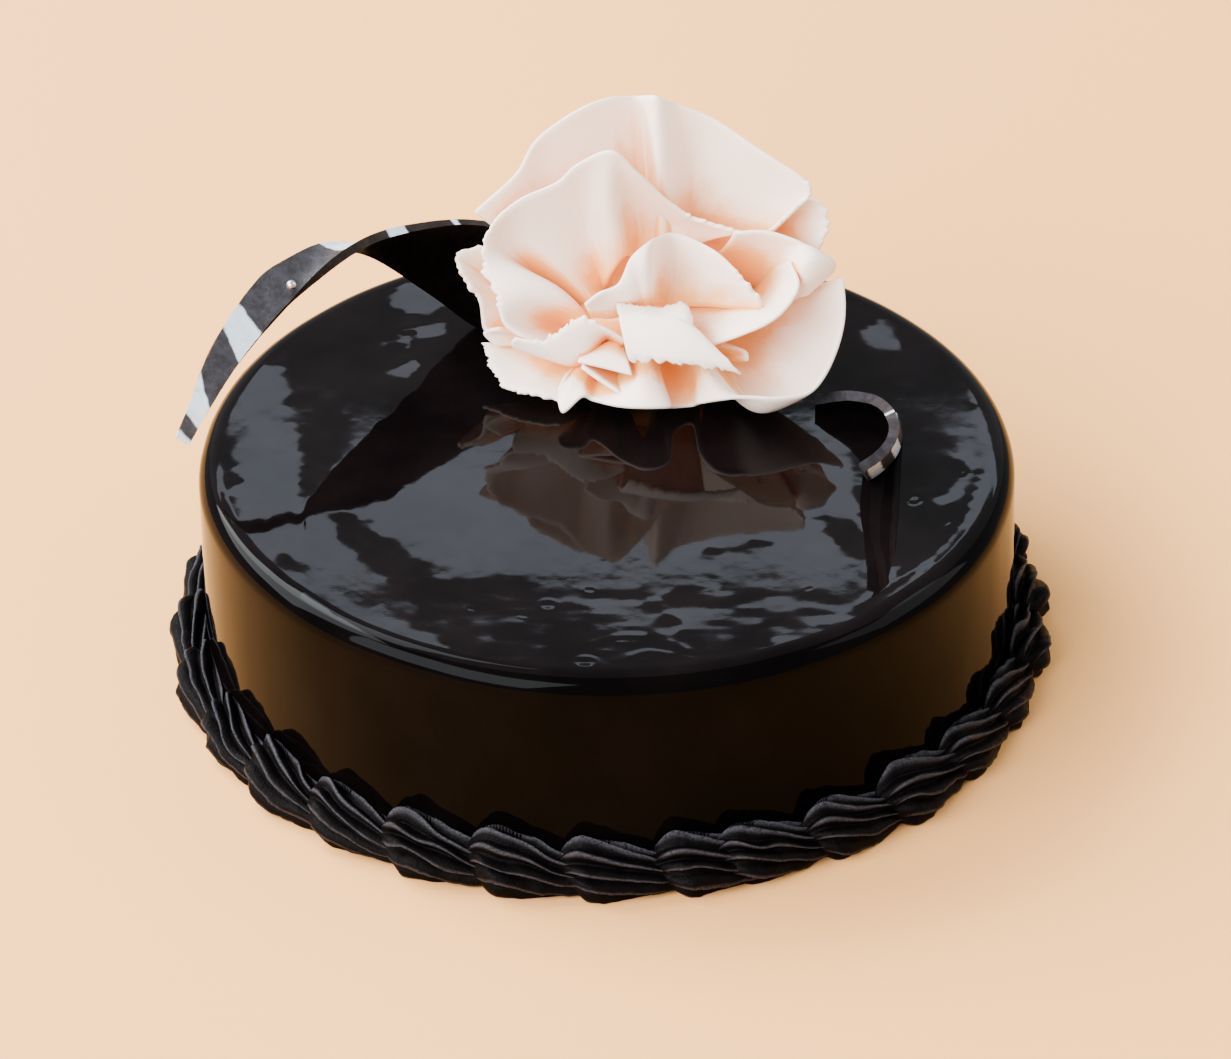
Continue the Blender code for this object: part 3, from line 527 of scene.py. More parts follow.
def noise_of(tree, size, detail=3.0, roughness=0.55):
    """Noise with grains of the given size in the object's own space."""
    place = add_node(tree, "ShaderNodeTexCoord").outputs["Object"]
    return add_node(tree, "ShaderNodeTexNoise", {
        "Vector": place, "Scale": 1.0 / size, "Detail": detail, "Roughness": roughness}).outputs["Fac"]


def painted(tree, name, output="Fac"):
    """What was stored at the piece's points under the name."""
    return add_node(tree, "ShaderNodeAttribute", attribute_name=name).outputs[output]


def ramp(tree, value, low, high, start=0.0, end=1.0):
    """The value mapped smoothly from low..high to start..end."""
    return add_node(tree, "ShaderNodeMapRange", {
        "Value": value, "From Min": low, "From Max": high, "To Min": start, "To Max": end},
        interpolation_type="SMOOTHSTEP").outputs["Result"]


def blend_colours(tree, factor, first, second):
    """A mix of two colours, each a socket or a value."""
    mix = add_node(tree, "ShaderNodeMix", {0: factor}, data_type="RGBA")
    for socket, colour in ((6, first), (7, second)):
        if isinstance(colour, bpy.types.NodeSocket):
            tree.links.new(colour, mix.inputs[socket])
        else:
            mix.inputs[socket].default_value = (*colour[:3], 1.0)
    return mix.outputs[2]


def math_of(tree, operation, first, second):
    """One step of arithmetic on sockets or values."""
    return add_node(tree, "ShaderNodeMath", {0: first, 1: second}, operation=operation).outputs[0]


def join(tree, socket, shader, name):
    """Joins a socket to one of the shader's inputs."""
    tree.links.new(socket, shader.inputs[name])


def vary_roughness(tree, shader, value, least, most, low=0.3, high=0.7):
    """Lets a value from low to high vary the shader's roughness from the least to the most."""
    join(tree, ramp(tree, value, low, high, least, most), shader, "Roughness")


def add_bump(tree, shader, height, depth):
    """Gives the shader a bump whose height socket, 0 to 1, is depth metres deep."""
    bump = add_node(tree, "ShaderNodeBump", {"Height": height, "Distance": depth, "Strength": 1.0})
    join(tree, bump.outputs["Normal"], shader, "Normal")


def tinted(colour, factor):
    """A colour made lighter or darker."""
    return tuple(channel * factor for channel in colour)


def glaze_material(glaze, name, tone, ior):
    """Mirror glaze: near-black, glossy and faintly clouded. A lower tone makes it darker,
    and a lower index of refraction lets it mirror less."""
    material, tree, shader = new_material(name)
    cloud = ramp(tree, noise_of(tree, 0.020, detail=4.0), 0.35, 0.7)
    join(tree, blend_colours(tree, cloud, tinted(glaze.colour, tone), tinted(glaze.colour, tone * 1.9)),
         shader, "Base Color")
    vary_roughness(tree, shader, noise_of(tree, 0.006), least=glaze.roughness * 0.7,
                   most=glaze.roughness * 1.6, high=0.8)
    shader.inputs["IOR"].default_value = ior
    shader.inputs["Specular Tint"].default_value = (*glaze.gleam, 1.0)
    grain = noise_of(tree, 0.0016, roughness=0.6)
    add_bump(tree, shader, grain, depth=0.0000022 * glaze.unevenness)
    return material


def piped_material(border):
    """Piped chocolate: near-black and matte, with a fine grain and a painted highlight, pale and speckled,
    along the ridges' lips.
    """
    material, tree, shader = new_material("piped_chocolate")
    patch = ramp(tree, noise_of(tree, 0.004, detail=4.0), 0.35, 0.7)
    base = blend_colours(tree, patch, border.colour, tinted(border.colour, 2.0))
    grain = noise_of(tree, 0.0006, roughness=0.65)
    # Painted highlight on the ridges' lips, speckled by the grain.
    highlighted = math_of(tree, "MULTIPLY", ramp(tree, painted(tree, "lip"), 0.35, 1.0),
                  ramp(tree, grain, 0.30, 0.62, 0.25, 1.0))
    join(tree, blend_colours(tree, highlighted, base, border.lip), shader, "Base Color")
    vary_roughness(tree, shader, grain, least=0.34, most=0.58)
    shader.inputs["IOR"].default_value = 1.11
    add_bump(tree, shader, grain, depth=0.00022)
    return material


def petal_material(flower):
    """Rolled sugar petal: pale pink, soft and translucent, with orange painted shade in the depths and
    towards the roots.
    """
    material, tree, shader = new_material("blush_petal")
    cloud = math_of(tree, "MULTIPLY", noise_of(tree, 0.012), 0.12)
    # Painted shade: the colour turns orange where a point is closed in by other petals and near a petal's
    # roots.
    shade_amount = math_of(tree, "ADD", painted(tree, "depth_shade"), cloud)
    base = blend_colours(tree, ramp(tree, shade_amount, 0.42, 0.90), flower.colour, flower.shade_and_fleck)
    fleck = ramp(tree, noise_of(tree, 0.0012, detail=2.0), 0.74, 0.8)
    base = blend_colours(tree, math_of(tree, "MULTIPLY", fleck, 0.10), base, tinted(flower.shade_and_fleck, 0.8))
    join(tree, base, shader, "Base Color")
    grain = noise_of(tree, 0.0009)
    vary_roughness(tree, shader, grain, least=0.50, most=0.66)
    shader.inputs["IOR"].default_value = 1.42
    shader.inputs["Subsurface Weight"].default_value = 0.25
    shader.inputs["Subsurface Radius"].default_value = (1.0, 0.55, 0.35)
    shader.inputs["Subsurface Scale"].default_value = flower.glow
    add_bump(tree, shader, grain, depth=0.00003)
    return material


# How far a stripe's border wanders to either side, and half the width of its soft edge.
STRIPE_WANDER = 0.0007
STRIPE_BLUR = 0.0004


def chocolate_material(name, colour, garnish, stripes, ior):
    """Tempered chocolate: mottled, half matte, with stripes of white chocolate. A stripe is
    (start, end, slant of the start, slant of the end): metres along the piece at its near
    edge, and metres of slant for each metre across. A lower index of refraction lets the
    chocolate mirror less."""
    material, tree, shader = new_material(name)
    mottle = ramp(tree, noise_of(tree, 0.0030, detail=5.0, roughness=0.68), 0.36, 0.66)
    base = blend_colours(tree, mottle, tinted(colour, 0.75), tinted(colour, 1.9))
    speck = ramp(tree, noise_of(tree, 0.0009, roughness=0.6), 0.62, 0.72)
    base = blend_colours(tree, math_of(tree, "MULTIPLY", speck, 0.45), base, tinted(colour, 4.0))
    parts = add_node(tree, "ShaderNodeSeparateXYZ", {"Vector": painted(tree, "place", "Vector")})
    wander = ramp(tree, noise_of(tree, 0.004), 0.0, 1.0, -STRIPE_WANDER, STRIPE_WANDER)
    along, across = math_of(tree, "ADD", parts.outputs["X"], wander), parts.outputs["Y"]
    smear = ramp(tree, noise_of(tree, 0.0030, detail=4.0), 0.20, 0.55, 0.72, 1.0)
    for start, end, start_slant, end_slant in stripes:
        first = math_of(tree, "SUBTRACT", along, math_of(tree, "MULTIPLY", across, start_slant))
        last = math_of(tree, "SUBTRACT", along, math_of(tree, "MULTIPLY", across, end_slant))
        white = math_of(tree, "MULTIPLY", ramp(tree, first, start - STRIPE_BLUR, start + STRIPE_BLUR),
                        ramp(tree, last, end - STRIPE_BLUR, end + STRIPE_BLUR, 1.0, 0.0))
        base = blend_colours(tree, math_of(tree, "MULTIPLY", white, smear), base, garnish.stripe)
    join(tree, base, shader, "Base Color")
    grain = noise_of(tree, 0.0010, detail=4.0, roughness=0.65)
    vary_roughness(tree, shader, grain, least=0.40, most=0.60)
    shader.inputs["IOR"].default_value = ior
    add_bump(tree, shader, grain, depth=0.00012)
    return material


def silver_material(garnish):
    """Silvered sugar: metallic with a slightly uneven skin."""
    material, tree, shader = new_material("silver_sugar")
    tarnish = ramp(tree, noise_of(tree, 0.0006), 0.35, 0.7)
    join(tree, blend_colours(tree, tarnish, garnish.silver, tinted(garnish.silver, 0.6)), shader,
         "Base Color")
    shader.inputs["Metallic"].default_value = 0.92
    vary_roughness(tree, shader, tarnish, least=0.16, most=0.34, low=0.0, high=1.0)
    add_bump(tree, shader, noise_of(tree, 0.0004, detail=2.0), depth=0.00001)
    return material


def floor_material(studio):
    """A plain pale floor, very slightly uneven in tone."""
    material, tree, shader = new_material("studio_floor")
    tone = ramp(tree, noise_of(tree, 0.35, detail=2.0), 0.3, 0.7)
    join(tree, blend_colours(tree, tone, studio.floor, tinted(studio.floor, 0.97)), shader, "Base Color")
    shader.inputs["Roughness"].default_value = 0.85
    shader.inputs["Specular IOR Level"].default_value = 0.2
    return material


# Where the flat top mirrors the room behind it, in metres over the back strip's middle, at
# the cake's middle and for each millimetre to the back, and how far a slope of the glaze
# swings that. What lies within STRIP_HALF looks bright. A bright wave keeps within
# STRIP_AIM, and a dark one faces BESIDE_STRIP.
MIRROR_START = -0.0325
MIRROR_STEP = -0.00127
MIRROR_SWING = 4.75
STRIP_HALF = 0.043
STRIP_AIM = 0.6 * STRIP_HALF
BESIDE_STRIP = 0.075

# Shallow waves of the glaze's top, as (x, y, half length, half width) in millimetres, the
# direction of the length in degrees, and where the wave faces: 0 to the strip, -1 under it
# and 1 over it.
WAVES = [(72, -23, 36.0, 13.5, -90, -1), (-68, -1, 21.0, 4.9, 82, -1), (-91, -4, 17.8, 2.7, -84, -1),
         (-83, 25, 18.0, 7.5, -87, 0), (-44, 69, 10.1, 6.9, 0, 0), (-45, 52, 10.0, 3.0, 29, 0),
         (-50, 34, 8.1, 2.2, 44, 0), (66, 50, 9.0, 6.0, -70, 0), (52, 8, 5.0, 3.0, 60, 0),
         (90, 14, 10.0, 2.6, -85, 0), (80, -22, 5.0, 1.6, 60, 0),
         (-50, -75, 24.0, 4.8, -39, 0), (55, -68, 28.4, 2.6, 40, 0), (21, -61, 10.0, 2.2, 10, 0),
         (-72, -52, 14.0, 4.0, -48, 0), (-50, -48, 27.0, 5.5, -57, 1), (-28, -66, 9.0, 4.0, -30, 1),
         (56, -38, 9.4, 5.0, -60, 1), (-72, -50, 11.1, 1.9, -55, 1), (-31, -58, 12.2, 3.0, 9, 1),
         (29, -43, 9.1, 2.9, 22, 1), (2, -62, 22.0, 3.0, 0, 1), (79, 36, 12.0, 6.3, -90, -1)]

# A wave's outline is ragged, as layers of (millimetres, size of the lumps, pace from left to
# right, seed), and its border is soft: so many millimetres, or a share of its half width. A
# pace under 1 draws the lumps out that way.
RAGGED_LAYERS = ((2.0, 6.5, 1.0, 1), (1.7, 2.6, 0.7, 2), (1.0, 1.3, 1.0, 7))
SOFT_BORDER = 1.6
SOFT_SHARE = 0.35

# Slopes besides the waves, with the size of their lumps in millimetres: slow ones all over,
# and streaks from side to side at the front, where the glaze ran over the rim. These begin
# STREAK_START to the front of the cake's middle and are full from STREAK_FULL on. To both
# sides of STREAK_MIDDLE they are full up to the first of STREAK_HALVES and end at the second.
SLOW_SLOPE = 0.0012
SLOW_SIZE = 16.0
STREAK_SLOPE = 0.0090
STREAK_SIZE = 1.7
STREAK_PACE = 0.25
STREAK_START = 58
STREAK_FULL = 64
STREAK_MIDDLE = 8
STREAK_HALVES = (40, 62)

# Half the size and the step of the square grid of heights, in millimetres. Its lines from
# front to back are brought back to level where the top mirrors LEVEL_MARGIN or more under
# the strip, within LEVEL_REACH of the middle, and LEAST_ROOM keeps a line with little such
# room from bending sharply there. The heights are smoothed so many times, and fine ripples,
# as (height, size of the lumps), lie over them.
RELIEF_REACH = 100.0
RELIEF_STEP = 0.5
LEVEL_MARGIN = 0.05
LEVEL_REACH = 90
LEAST_ROOM = 0.2
SMOOTHINGS = 4
RIPPLES = ((0.0050, 3.6), (0.0014, 1.6))

# Small marks in the glaze, as (x, y, radius, depth) in millimetres: burst bubbles that
# left a dimple with a raised lip. The lip's height is a share of the depth, and its width
# and the hollow's are shares of the radius.
LIP_SHARE = 0.7
LIP_WIDTH = 0.35
HOLLOW_WIDTH = 0.6
DIMPLES = [(-14.2, -65.7, 1.9, 0.030), (-4.5, -59.7, 1.2, 0.022), (-5.9, -88.9, 2.0, 0.060),
           (2.2, -80.2, 0.9, 0.022), (72.2, -23.0, 1.3, 0.045), (79.9, -33.8, 1.0, 0.045),
           (-32.0, -67.0, 1.0, 0.022), (30.0, 4.0, 0.5, 0.030), (46.0, -60.0, 1.0, 0.022),
           (-20.0, -70.0, 0.8, 0.020), (84.0, -12.0, 0.8, 0.030)]

# Folds where the glaze ran and set, as (half width, height) and points (x, y), in
# millimetres. A fold rises over the first share of its length and fades from the second on.
FOLD_SAMPLES = 60
FOLD_RISE = 0.12
FOLD_FADE = 0.8
FOLDS = [((1.9, 0.040), [(9.0, -62.0), (12.0, -69.0), (10.5, -76.0), (14.0, -84.0), (12.0, -91.0)]),
         ((1.2, 0.025), [(13.0, -68.0), (16.5, -74.0), (15.0, -81.0), (19.5, -87.0)]),
         ((1.1, 0.020), [(3.0, -88.0), (8.0, -85.0), (13.0, -86.0), (22.0, -89.5)]),
         ((1.0, 0.018), [(-6.0, -82.0), (2.0, -78.5), (10.0, -79.0)]),
         ((1.2, 0.040), [(88.5, -8.0), (85.0, -26.0), (78.0, -42.0), (68.0, -56.0), (52.0, -72.0)])]


def fold_relief(x, y):
    """Height in millimetres of the folds at x and y in millimetres."""
    relief = np.zeros_like(x)
    for (half, height), points in FOLDS:
        shares = np.linspace(0, 1, FOLD_SAMPLES)
        near = np.full(x.shape, np.inf)
        place = np.zeros_like(x)
        for share, (px, py) in zip(shares, curve_points(points, shares)):
            away = np.hypot(x - px, y - py)
            place = np.where(away < near, share, place)
            near = np.minimum(near, away)
        fade = ease_between(place, 0.0, FOLD_RISE) * (1 - ease_between(place, FOLD_FADE, 1.0))
        relief += height * fade * np.exp(-(near / half) ** 2)
    return relief


def wave_slopes(x, y, flat, place):
    """How steeply the top rises to the back at each point, so that each wave faces what it
    should mirror. The flat values say what the flat top mirrors there."""
    ragged = sum(reach * lumps(place * (pace, 1.0, 1.0), size, seed)
                 for reach, size, pace, seed in RAGGED_LAYERS)
    slope = SLOW_SLOPE * lumps(place, SLOW_SIZE, 3)
    for cx, cy, length, width, turn, facing in WAVES:
        cosine, sine = math.cos(math.radians(turn)), math.sin(math.radians(turn))
        along = (cosine * (x - cx) + sine * (y - cy)) / length
        beside = (cosine * (y - cy) - sine * (x - cx)) / width
        past = (np.hypot(along, beside) - 1) * width + ragged
        soft = min(SOFT_BORDER, SOFT_SHARE * width)
        aim = np.clip(flat, -STRIP_AIM, STRIP_AIM) if facing == 0 else facing * BESIDE_STRIP
        slope += (1 - ease_between(past, -soft, soft)) * ((aim - flat) / MIRROR_SWING - slope)
    full, end = STREAK_HALVES
    front = ease_between(-y, STREAK_START, STREAK_FULL)
    front *= ease_between(-np.abs(x - STREAK_MIDDLE), -end, -full)
    return slope + STREAK_SLOPE * front * lumps(place * (STREAK_PACE, 1.0, 1.0), STREAK_SIZE, 4)


def relief_map():
    """Heights in millimetres of the glaze's waves, on a square grid over the top."""
    axis = np.arange(-RELIEF_REACH, RELIEF_REACH + RELIEF_STEP, RELIEF_STEP)
    x, y = np.meshgrid(axis, axis, indexing="ij")
    place = np.stack([x, y, np.zeros_like(x)], axis=-1)
    flat = MIRROR_START + MIRROR_STEP * y
    slope = wave_slopes(x, y, flat, place)
    spare = np.clip(-flat - MIRROR_SWING * slope - LEVEL_MARGIN, 0, None)
    spare *= np.hypot(x, y) < LEVEL_REACH
    rise = slope.sum(axis=1, keepdims=True)
    slope -= np.maximum(rise, 0) * spare / np.maximum(spare.sum(axis=1, keepdims=True), LEAST_ROOM)
    heights = np.cumsum(slope, axis=1) * RELIEF_STEP
    heights -= heights.mean(axis=1, keepdims=True)
    for _ in range(SMOOTHINGS):
        heights[1:-1] = (heights[:-2] + 2 * heights[1:-1] + heights[2:]) / 4
    return heights + layered_lumps(place, RIPPLES, 5)


def top_relief(x, y):
    """Height in millimetres of the glaze over its flat top, at x and y in millimetres."""
    heights = relief_map()
    last = heights.shape[0] - 2
    u = np.clip((x + RELIEF_REACH) / RELIEF_STEP, 0, last)
    v = np.clip((y + RELIEF_REACH) / RELIEF_STEP, 0, last)
    i, j = u.astype(int), v.astype(int)
    u, v = u - i, v - j
    relief = (heights[i, j] * (1 - u) + heights[i + 1, j] * u) * (1 - v)
    relief += (heights[i, j + 1] * (1 - u) + heights[i + 1, j + 1] * u) * v
    for cx, cy, radius, depth in DIMPLES:
        away = np.hypot(x - cx, y - cy) / radius
        lip = LIP_SHARE * np.exp(-((away - 1) / LIP_WIDTH) ** 2)
        relief += depth * (lip - np.exp(-(away / HOLLOW_WIDTH) ** 2))
    return relief + fold_relief(x, y)


# Rings of points on the glazed cake, and the points in a ring. The top's rings are coarse
# from HOLE to MIDDLE_RADIUS and fine from OUTER_RADIUS on. One face closes the small hole
# in the top's middle, and one that of the underside.
MIDDLE_RINGS = 20
OUTER_RINGS = 112
RIM_RINGS = 12
SIDE_RINGS = 18
FOOT_RINGS = 3
RING_POINTS = 576
HOLE = 0.0005
MIDDLE_RADIUS = 0.034
OUTER_RADIUS = 0.0345


def glaze_profile(glaze):
    """Radius and height in metres of the turned profile, from the top's middle to the
    underside, the share of the top's relief at each point and the share of the side's."""
    flat = glaze.radius - glaze.rim
    radii = np.concatenate([np.linspace(HOLE, MIDDLE_RADIUS, MIDDLE_RINGS),
                            np.linspace(OUTER_RADIUS, flat, OUTER_RINGS)])
    rows = [(radius, glaze.height, 1.0, 0.0) for radius in radii]
    for turn in np.linspace(0, math.pi / 2, RIM_RINGS + 1)[1:]:
        side = math.sin(turn)
        rows.append((flat + glaze.rim * side, glaze.height - glaze.rim * (1 - math.cos(turn)),
                     1 - side, side))
    for height in np.linspace(glaze.height - glaze.rim, glaze.foot, SIDE_RINGS + 1)[1:]:
        rows.append((glaze.radius, height, 0.0, 1.0))
    for turn in np.linspace(0, math.pi / 2, FOOT_RINGS + 1)[1:]:
        rows.append((glaze.radius - glaze.foot * (1 - math.cos(turn)),
                     glaze.foot * (1 - math.sin(turn)), 0.0, 0.0))
    rows.append((glaze.radius / 2, 0.0, 0.0, 0.0))
    rows.append((HOLE, 0.0, 0.0, 0.0))
    return np.array(rows)


# The side's unevenness, with the size of its lumps, in millimetres: a slow swell, and runs
# that are longer up and down than across.
SIDE_SWELL = 0.22
SWELL_SIZE = 34.0
SIDE_RUNS = 0.05
RUN_SIZE = 9.0
RUN_PACE = (1.0, 1.0, 0.4)

# The finishes of the top's glaze and of the side's: name, tone and index of refraction. The
# side's copy is darker, painted shade, and mirrors less; it begins where the rim has turned so far, as a
# share, and goes down to the foot.
TOP_GLAZE = ("dark_glaze", 1.0, 1.14)
SHADED_WALL_GLAZE = ("shaded_wall_glaze", 0.45, 1.10)
SHADED_WALL_FROM = 0.45


def glaze_points(glaze, profile):
    """A grid of points over the glazed cake: the profile turned round, uneven and leaning."""
    turn = np.linspace(0, 2 * math.pi, RING_POINTS, endpoint=False)
    radius, height, on_top, on_side = (column[:, None] for column in profile.T)
    x, y = radius * np.cos(turn), radius * np.sin(turn)
    relief = top_relief(millimetres(x), millimetres(y)) * MM * on_top * glaze.unevenness
    wall = np.stack([millimetres(x), millimetres(y), np.broadcast_to(millimetres(height), x.shape)],
                    axis=-1)
    wave = SIDE_SWELL * lumps(wall, SWELL_SIZE, 5)
    wave += SIDE_RUNS * lumps(wall * RUN_PACE, RUN_SIZE, 6)
    radius = radius + wave * MM * on_side * glaze.unevenness
    x, y = radius * np.cos(turn), radius * np.sin(turn)
    lean = (glaze.lean_right * x + glaze.lean_back * y) * height / glaze.height
    return np.stack([x, y, height - lean + relief], axis=-1)


class CAKE_OT_glazed_body(Operator):
    """Make the mirror-glazed cake with its rounded rim and rippled skin"""
    bl_idname = "cake.glazed_body"
    bl_label = "Glazed Cake"

    def execute(self, context):
        glaze = context.scene.cake_glaze
        profile = glaze_profile(glaze)
        points = glaze_points(glaze, profile).reshape(-1, 3)
        cake = new_piece("glazed_cake", points, tube_faces(len(profile), RING_POINTS),
                         glaze_material(glaze, *TOP_GLAZE), "cake_body")
        # Painted shade: the side gets a darker copy of the glaze, which also mirrors less.
        cake.data.materials.append(glaze_material(glaze, *SHADED_WALL_GLAZE))
        first_shaded_row = np.argmax(profile[:, 3] >= SHADED_WALL_FROM)
        thin = np.zeros(len(cake.data.polygons), np.int32)
        thin[first_shaded_row * RING_POINTS:(len(profile) - 1) * RING_POINTS] = 1
        cake.data.polygons.foreach_set("material_index", thin)
        return {"FINISHED"}


# A ridge's cut, from one lip to the next: shares of the ridge, and its depth there.
RIDGE_SHARES = (0.0, 1 / 6, 1 / 3, 1 / 2, 2 / 3, 5 / 6, 1.0)
RIDGE_DEPTHS = (0.0, 0.10, 0.28, 0.62, 1.0, 0.90, 0.0)
POINTS_PER_RIDGE = 6

# A shell's rows of points lie closer together at its head, and the first one leaves a small
# hole that one face closes.
SHELL_ROWS = 40
ROW_CROWDING = 1.5
FIRST_ROW = 0.004

# A shell's form along its length: the share that its round head takes, the power of the
# head's swell, the share of its thickness that it loses to its tail and the power of that,
# and the share of its middle's height that it keeps where it is thinnest.
SHELL_HEAD = 0.24
HEAD_ROUNDNESS = 0.6
TAIL_NARROWING = 0.6
TAIL_POWER = 1.2
LOW_MIDDLE = 0.45

# The grooves reach their full depth at CUT_START and lose TAIL_LOSS of it from TAIL_START on.
# The higher LIP_SHARPNESS is, the narrower are the lips between them, where the material paints its
# highlight.
CUT_START = 0.14
TAIL_START = 0.7
TAIL_LOSS = 0.35
LIP_SHARPNESS = 10

# How far the ridges wander round the shell, in radians, the size of the lumps that they
# wander by, as a share of the shell's radius, and how much faster they do so along it.
SHELL_WANDER = 0.17
WANDER_SIZE = 0.7
WANDER_PACE = 3.0

# The piped skin's unevenness, as (height, size of the lumps) in millimetres.
SHELL_SKIN = ((0.46, 4.2), (0.20, 1.5))


def shell_points(border, angle, size, twist, depth, seed):
    """A grid of points over one piped shell from its head to its tail, and how close each
    is to the lip of a ridge."""
    t = FIRST_ROW + (1 - FIRST_ROW) * np.linspace(0, 1, SHELL_ROWS)[:, None] ** ROW_CROWDING
    section = POINTS_PER_RIDGE * border.ridges
    turn = np.linspace(0, 2 * math.pi, section, endpoint=False)[None, :]
    swell = np.sin(np.minimum(t / SHELL_HEAD, 1) * math.pi / 2) ** HEAD_ROUNDNESS
    tail = np.maximum(0, (t - SHELL_HEAD) / (1 - SHELL_HEAD))
    swell = size * swell * (1 - TAIL_NARROWING * tail ** TAIL_POWER)
    ridge = (turn * border.ridges / (2 * math.pi)) % 1.0
    groove = np.interp(ridge, RIDGE_SHARES, RIDGE_DEPTHS)
    cut = ease_between(t, 0.0, CUT_START) * (1 - TAIL_LOSS * ease_between(t, TAIL_START, 1.0))
    radial = 1 - depth * groove * cut
    lip = (1 - groove) ** LIP_SHARPNESS * cut
    spot = np.stack(np.broadcast_arrays(WANDER_PACE * t, np.cos(turn), np.sin(turn)), axis=-1)
    around = turn + twist * t + SHELL_WANDER * lumps(spot, WANDER_SIZE, seed + 2)
    travel = border.length * t - border.reach_back - border.shear * np.sin(around)
    place = angle + travel / border.ring
    radius = border.ring + border.half_width * swell * radial * np.cos(around)
    height = border.centre_height * (LOW_MIDDLE + (1 - LOW_MIDDLE) * swell)
    height = height + border.half_height * swell * radial * np.sin(around)
    points = np.stack([radius * np.cos(place), radius * np.sin(place), height], axis=-1)
    away = np.stack([np.cos(place) * np.cos(around), np.sin(place) * np.cos(around), np.sin(around)],
                    axis=-1)
    rough = layered_lumps(millimetres(points), SHELL_SKIN, seed)
    return points + away * rough[..., None] * MM, np.broadcast_to(lip, points.shape[:2])


# How the shells differ: in size and in ridge depth, as a share to either side, and in the
# range of their twist in degrees. Each shell's noise has a seed of its own.
SIZE_SPREAD = 0.07
DEPTH_SPREAD = 0.15
TWIST_RANGE = (-78.0, -48.0)
FIRST_SHELL_SEED = 10


class CAKE_OT_shell_border(Operator):
    """Pipe the ring of overlapping chocolate shells round the cake's foot"""
    bl_idname = "cake.shell_border"
    bl_label = "Shell Border"

    def execute(self, context):
        glaze = context.scene.cake_glaze
        border = context.scene.cake_border
        draw = random.Random(border.seed)
        step = (2 * math.pi - border.last_span) / (border.count - 1)
        points, lips, faces, first = [], [], [], 0
        for k in range(border.count):
            size = 1.0 + SIZE_SPREAD * draw.uniform(-1.0, 1.0)
            twist = math.radians(draw.uniform(*TWIST_RANGE))
            depth = border.ridge_depth * draw.uniform(1 - DEPTH_SPREAD, 1 + DEPTH_SPREAD)
            shell, lip = shell_points(border, border.start + step * k, size, twist, depth,
                                      FIRST_SHELL_SEED + k)
            faces += tube_faces(*shell.shape[:2], first=first)
            first += lip.size
            points.append(shell.reshape(-1, 3))
            lips.append(lip.ravel())
        points = np.concatenate(points)
        points[:, 2] = np.maximum(points[:, 2], CLEARANCE)
        reach = np.hypot(points[:, 0], points[:, 1])
        points[:, :2] *= (np.maximum(reach, glaze.radius + CLEARANCE) / reach)[:, None]
        piece = new_piece("piped_shells", points, faces, piped_material(border), "shell_border")
        # The lip mask tells the material where to paint the highlight.
        paint_points(piece, "lip", np.concatenate(lips))
        return {"FINISHED"}


# Steps between a petal's points in metres: along a torn rim, along a smooth one and from
# its roots to its rim, where it has at least so many.
TORN_STEP = 0.00042
SMOOTH_STEP = 0.0008
RIB_STEP = 0.0014
LEAST_RIB_STEPS = 6

# A petal's dents, which grow towards its rim, as (height, size of the lumps) in millimetres.
PETAL_DENTS = ((0.22, 9.0), (0.06, 3.5))

# A torn stretch fades in and out over these shares of the rim outside and inside its ends.
# Its teeth are big lumps and a share of small ones, with their sizes in millimetres, and
# between them the rim is torn in by TEAR_DEPTH, a share of the teeth's length.
TEAR_OUTSIDE = 0.03
TEAR_INSIDE = 0.01
BIG_TEETH = 1.5
SMALL_TEETH = 0.8
SMALL_SHARE = 0.6
TEAR_DEPTH = 0.2


def tear_rim(middle, torn, tear, seed):
    """Pushes the torn stretches of a petal's rim in and out in teeth."""
    share = np.linspace(0, 1, len(middle))
    strength = np.zeros(len(middle))
    for start, end in torn:
        begun = ease_between(share, start - TEAR_OUTSIDE, start + TEAR_INSIDE)
        ended = ease_between(share, end - TEAR_INSIDE, end + TEAR_OUTSIDE)
        strength = np.maximum(strength, begun * (1 - ended))
    edge = millimetres(middle[:, -1])
    tooth = np.abs(lumps(edge, BIG_TEETH, seed)) - TEAR_DEPTH
    tooth += SMALL_SHARE * lumps(edge, SMALL_TEETH, seed + 1)
    outward = middle[:, -1] - middle[:, -2]
    outward /= np.linalg.norm(outward, axis=1, keepdims=True)
    middle[:, -1] += outward * (tooth * strength * tear)[:, None]


def petal_grid(ribs, bow, torn, flower, seed):
    """The grid of points of a petal's middle surface, from its roots out to its rim."""
    forward = face_point((0, 0, 1)) - face_point((0, 0, 0))
    rims = np.array([face_point(rib[0]) for rib in ribs])
    roots = np.array([face_point(rib[-1]) for rib in ribs])
    bellies = []
    for rib, rim, root in zip(ribs, rims, roots):
        bellies.append(face_point(rib[1]) if len(rib) == 3 else (rim + root) / 2 + forward * bow)
    bellies = np.array(bellies)
    values = even_values(rims, TORN_STEP if torn else SMOOTH_STEP)
    rim = curve_points(rims, values)[:, None]
    belly = curve_points(bellies, values)[:, None]
    root = curve_points(roots, values)[:, None]
    length = np.linalg.norm(rim - root, axis=-1).max()
    v = np.linspace(0, 1, max(LEAST_RIB_STEPS, round(length / RIB_STEP)) + 1)[None, :, None]
    middle = root * ((1 - v) * (1 - 2 * v)) + belly * (4 * v * (1 - v)) + rim * (v * (2 * v - 1))
    dents = layered_lumps(millimetres(middle), PETAL_DENTS, seed)
    middle = middle + row_normals(middle) * (dents[..., None] * v) * MM
    if torn:
        tear_rim(middle, torn, flower.tear, seed + 2)
    return middle


# Rays that feel how closed in a point is: their number, how far they reach and how far off
# the surface they start, in metres, how far each is turned from the last and how unevenly,
# in radians, and how much less a petal counts at the end of their reach.
RAYS = 14
RAY_REACH = 0.022
RAY_START = 0.0004
RAY_TURN = 2.39996
RAY_SPREAD = 0.2
RAY_LOSS = 0.5
RAY_SEED = 7


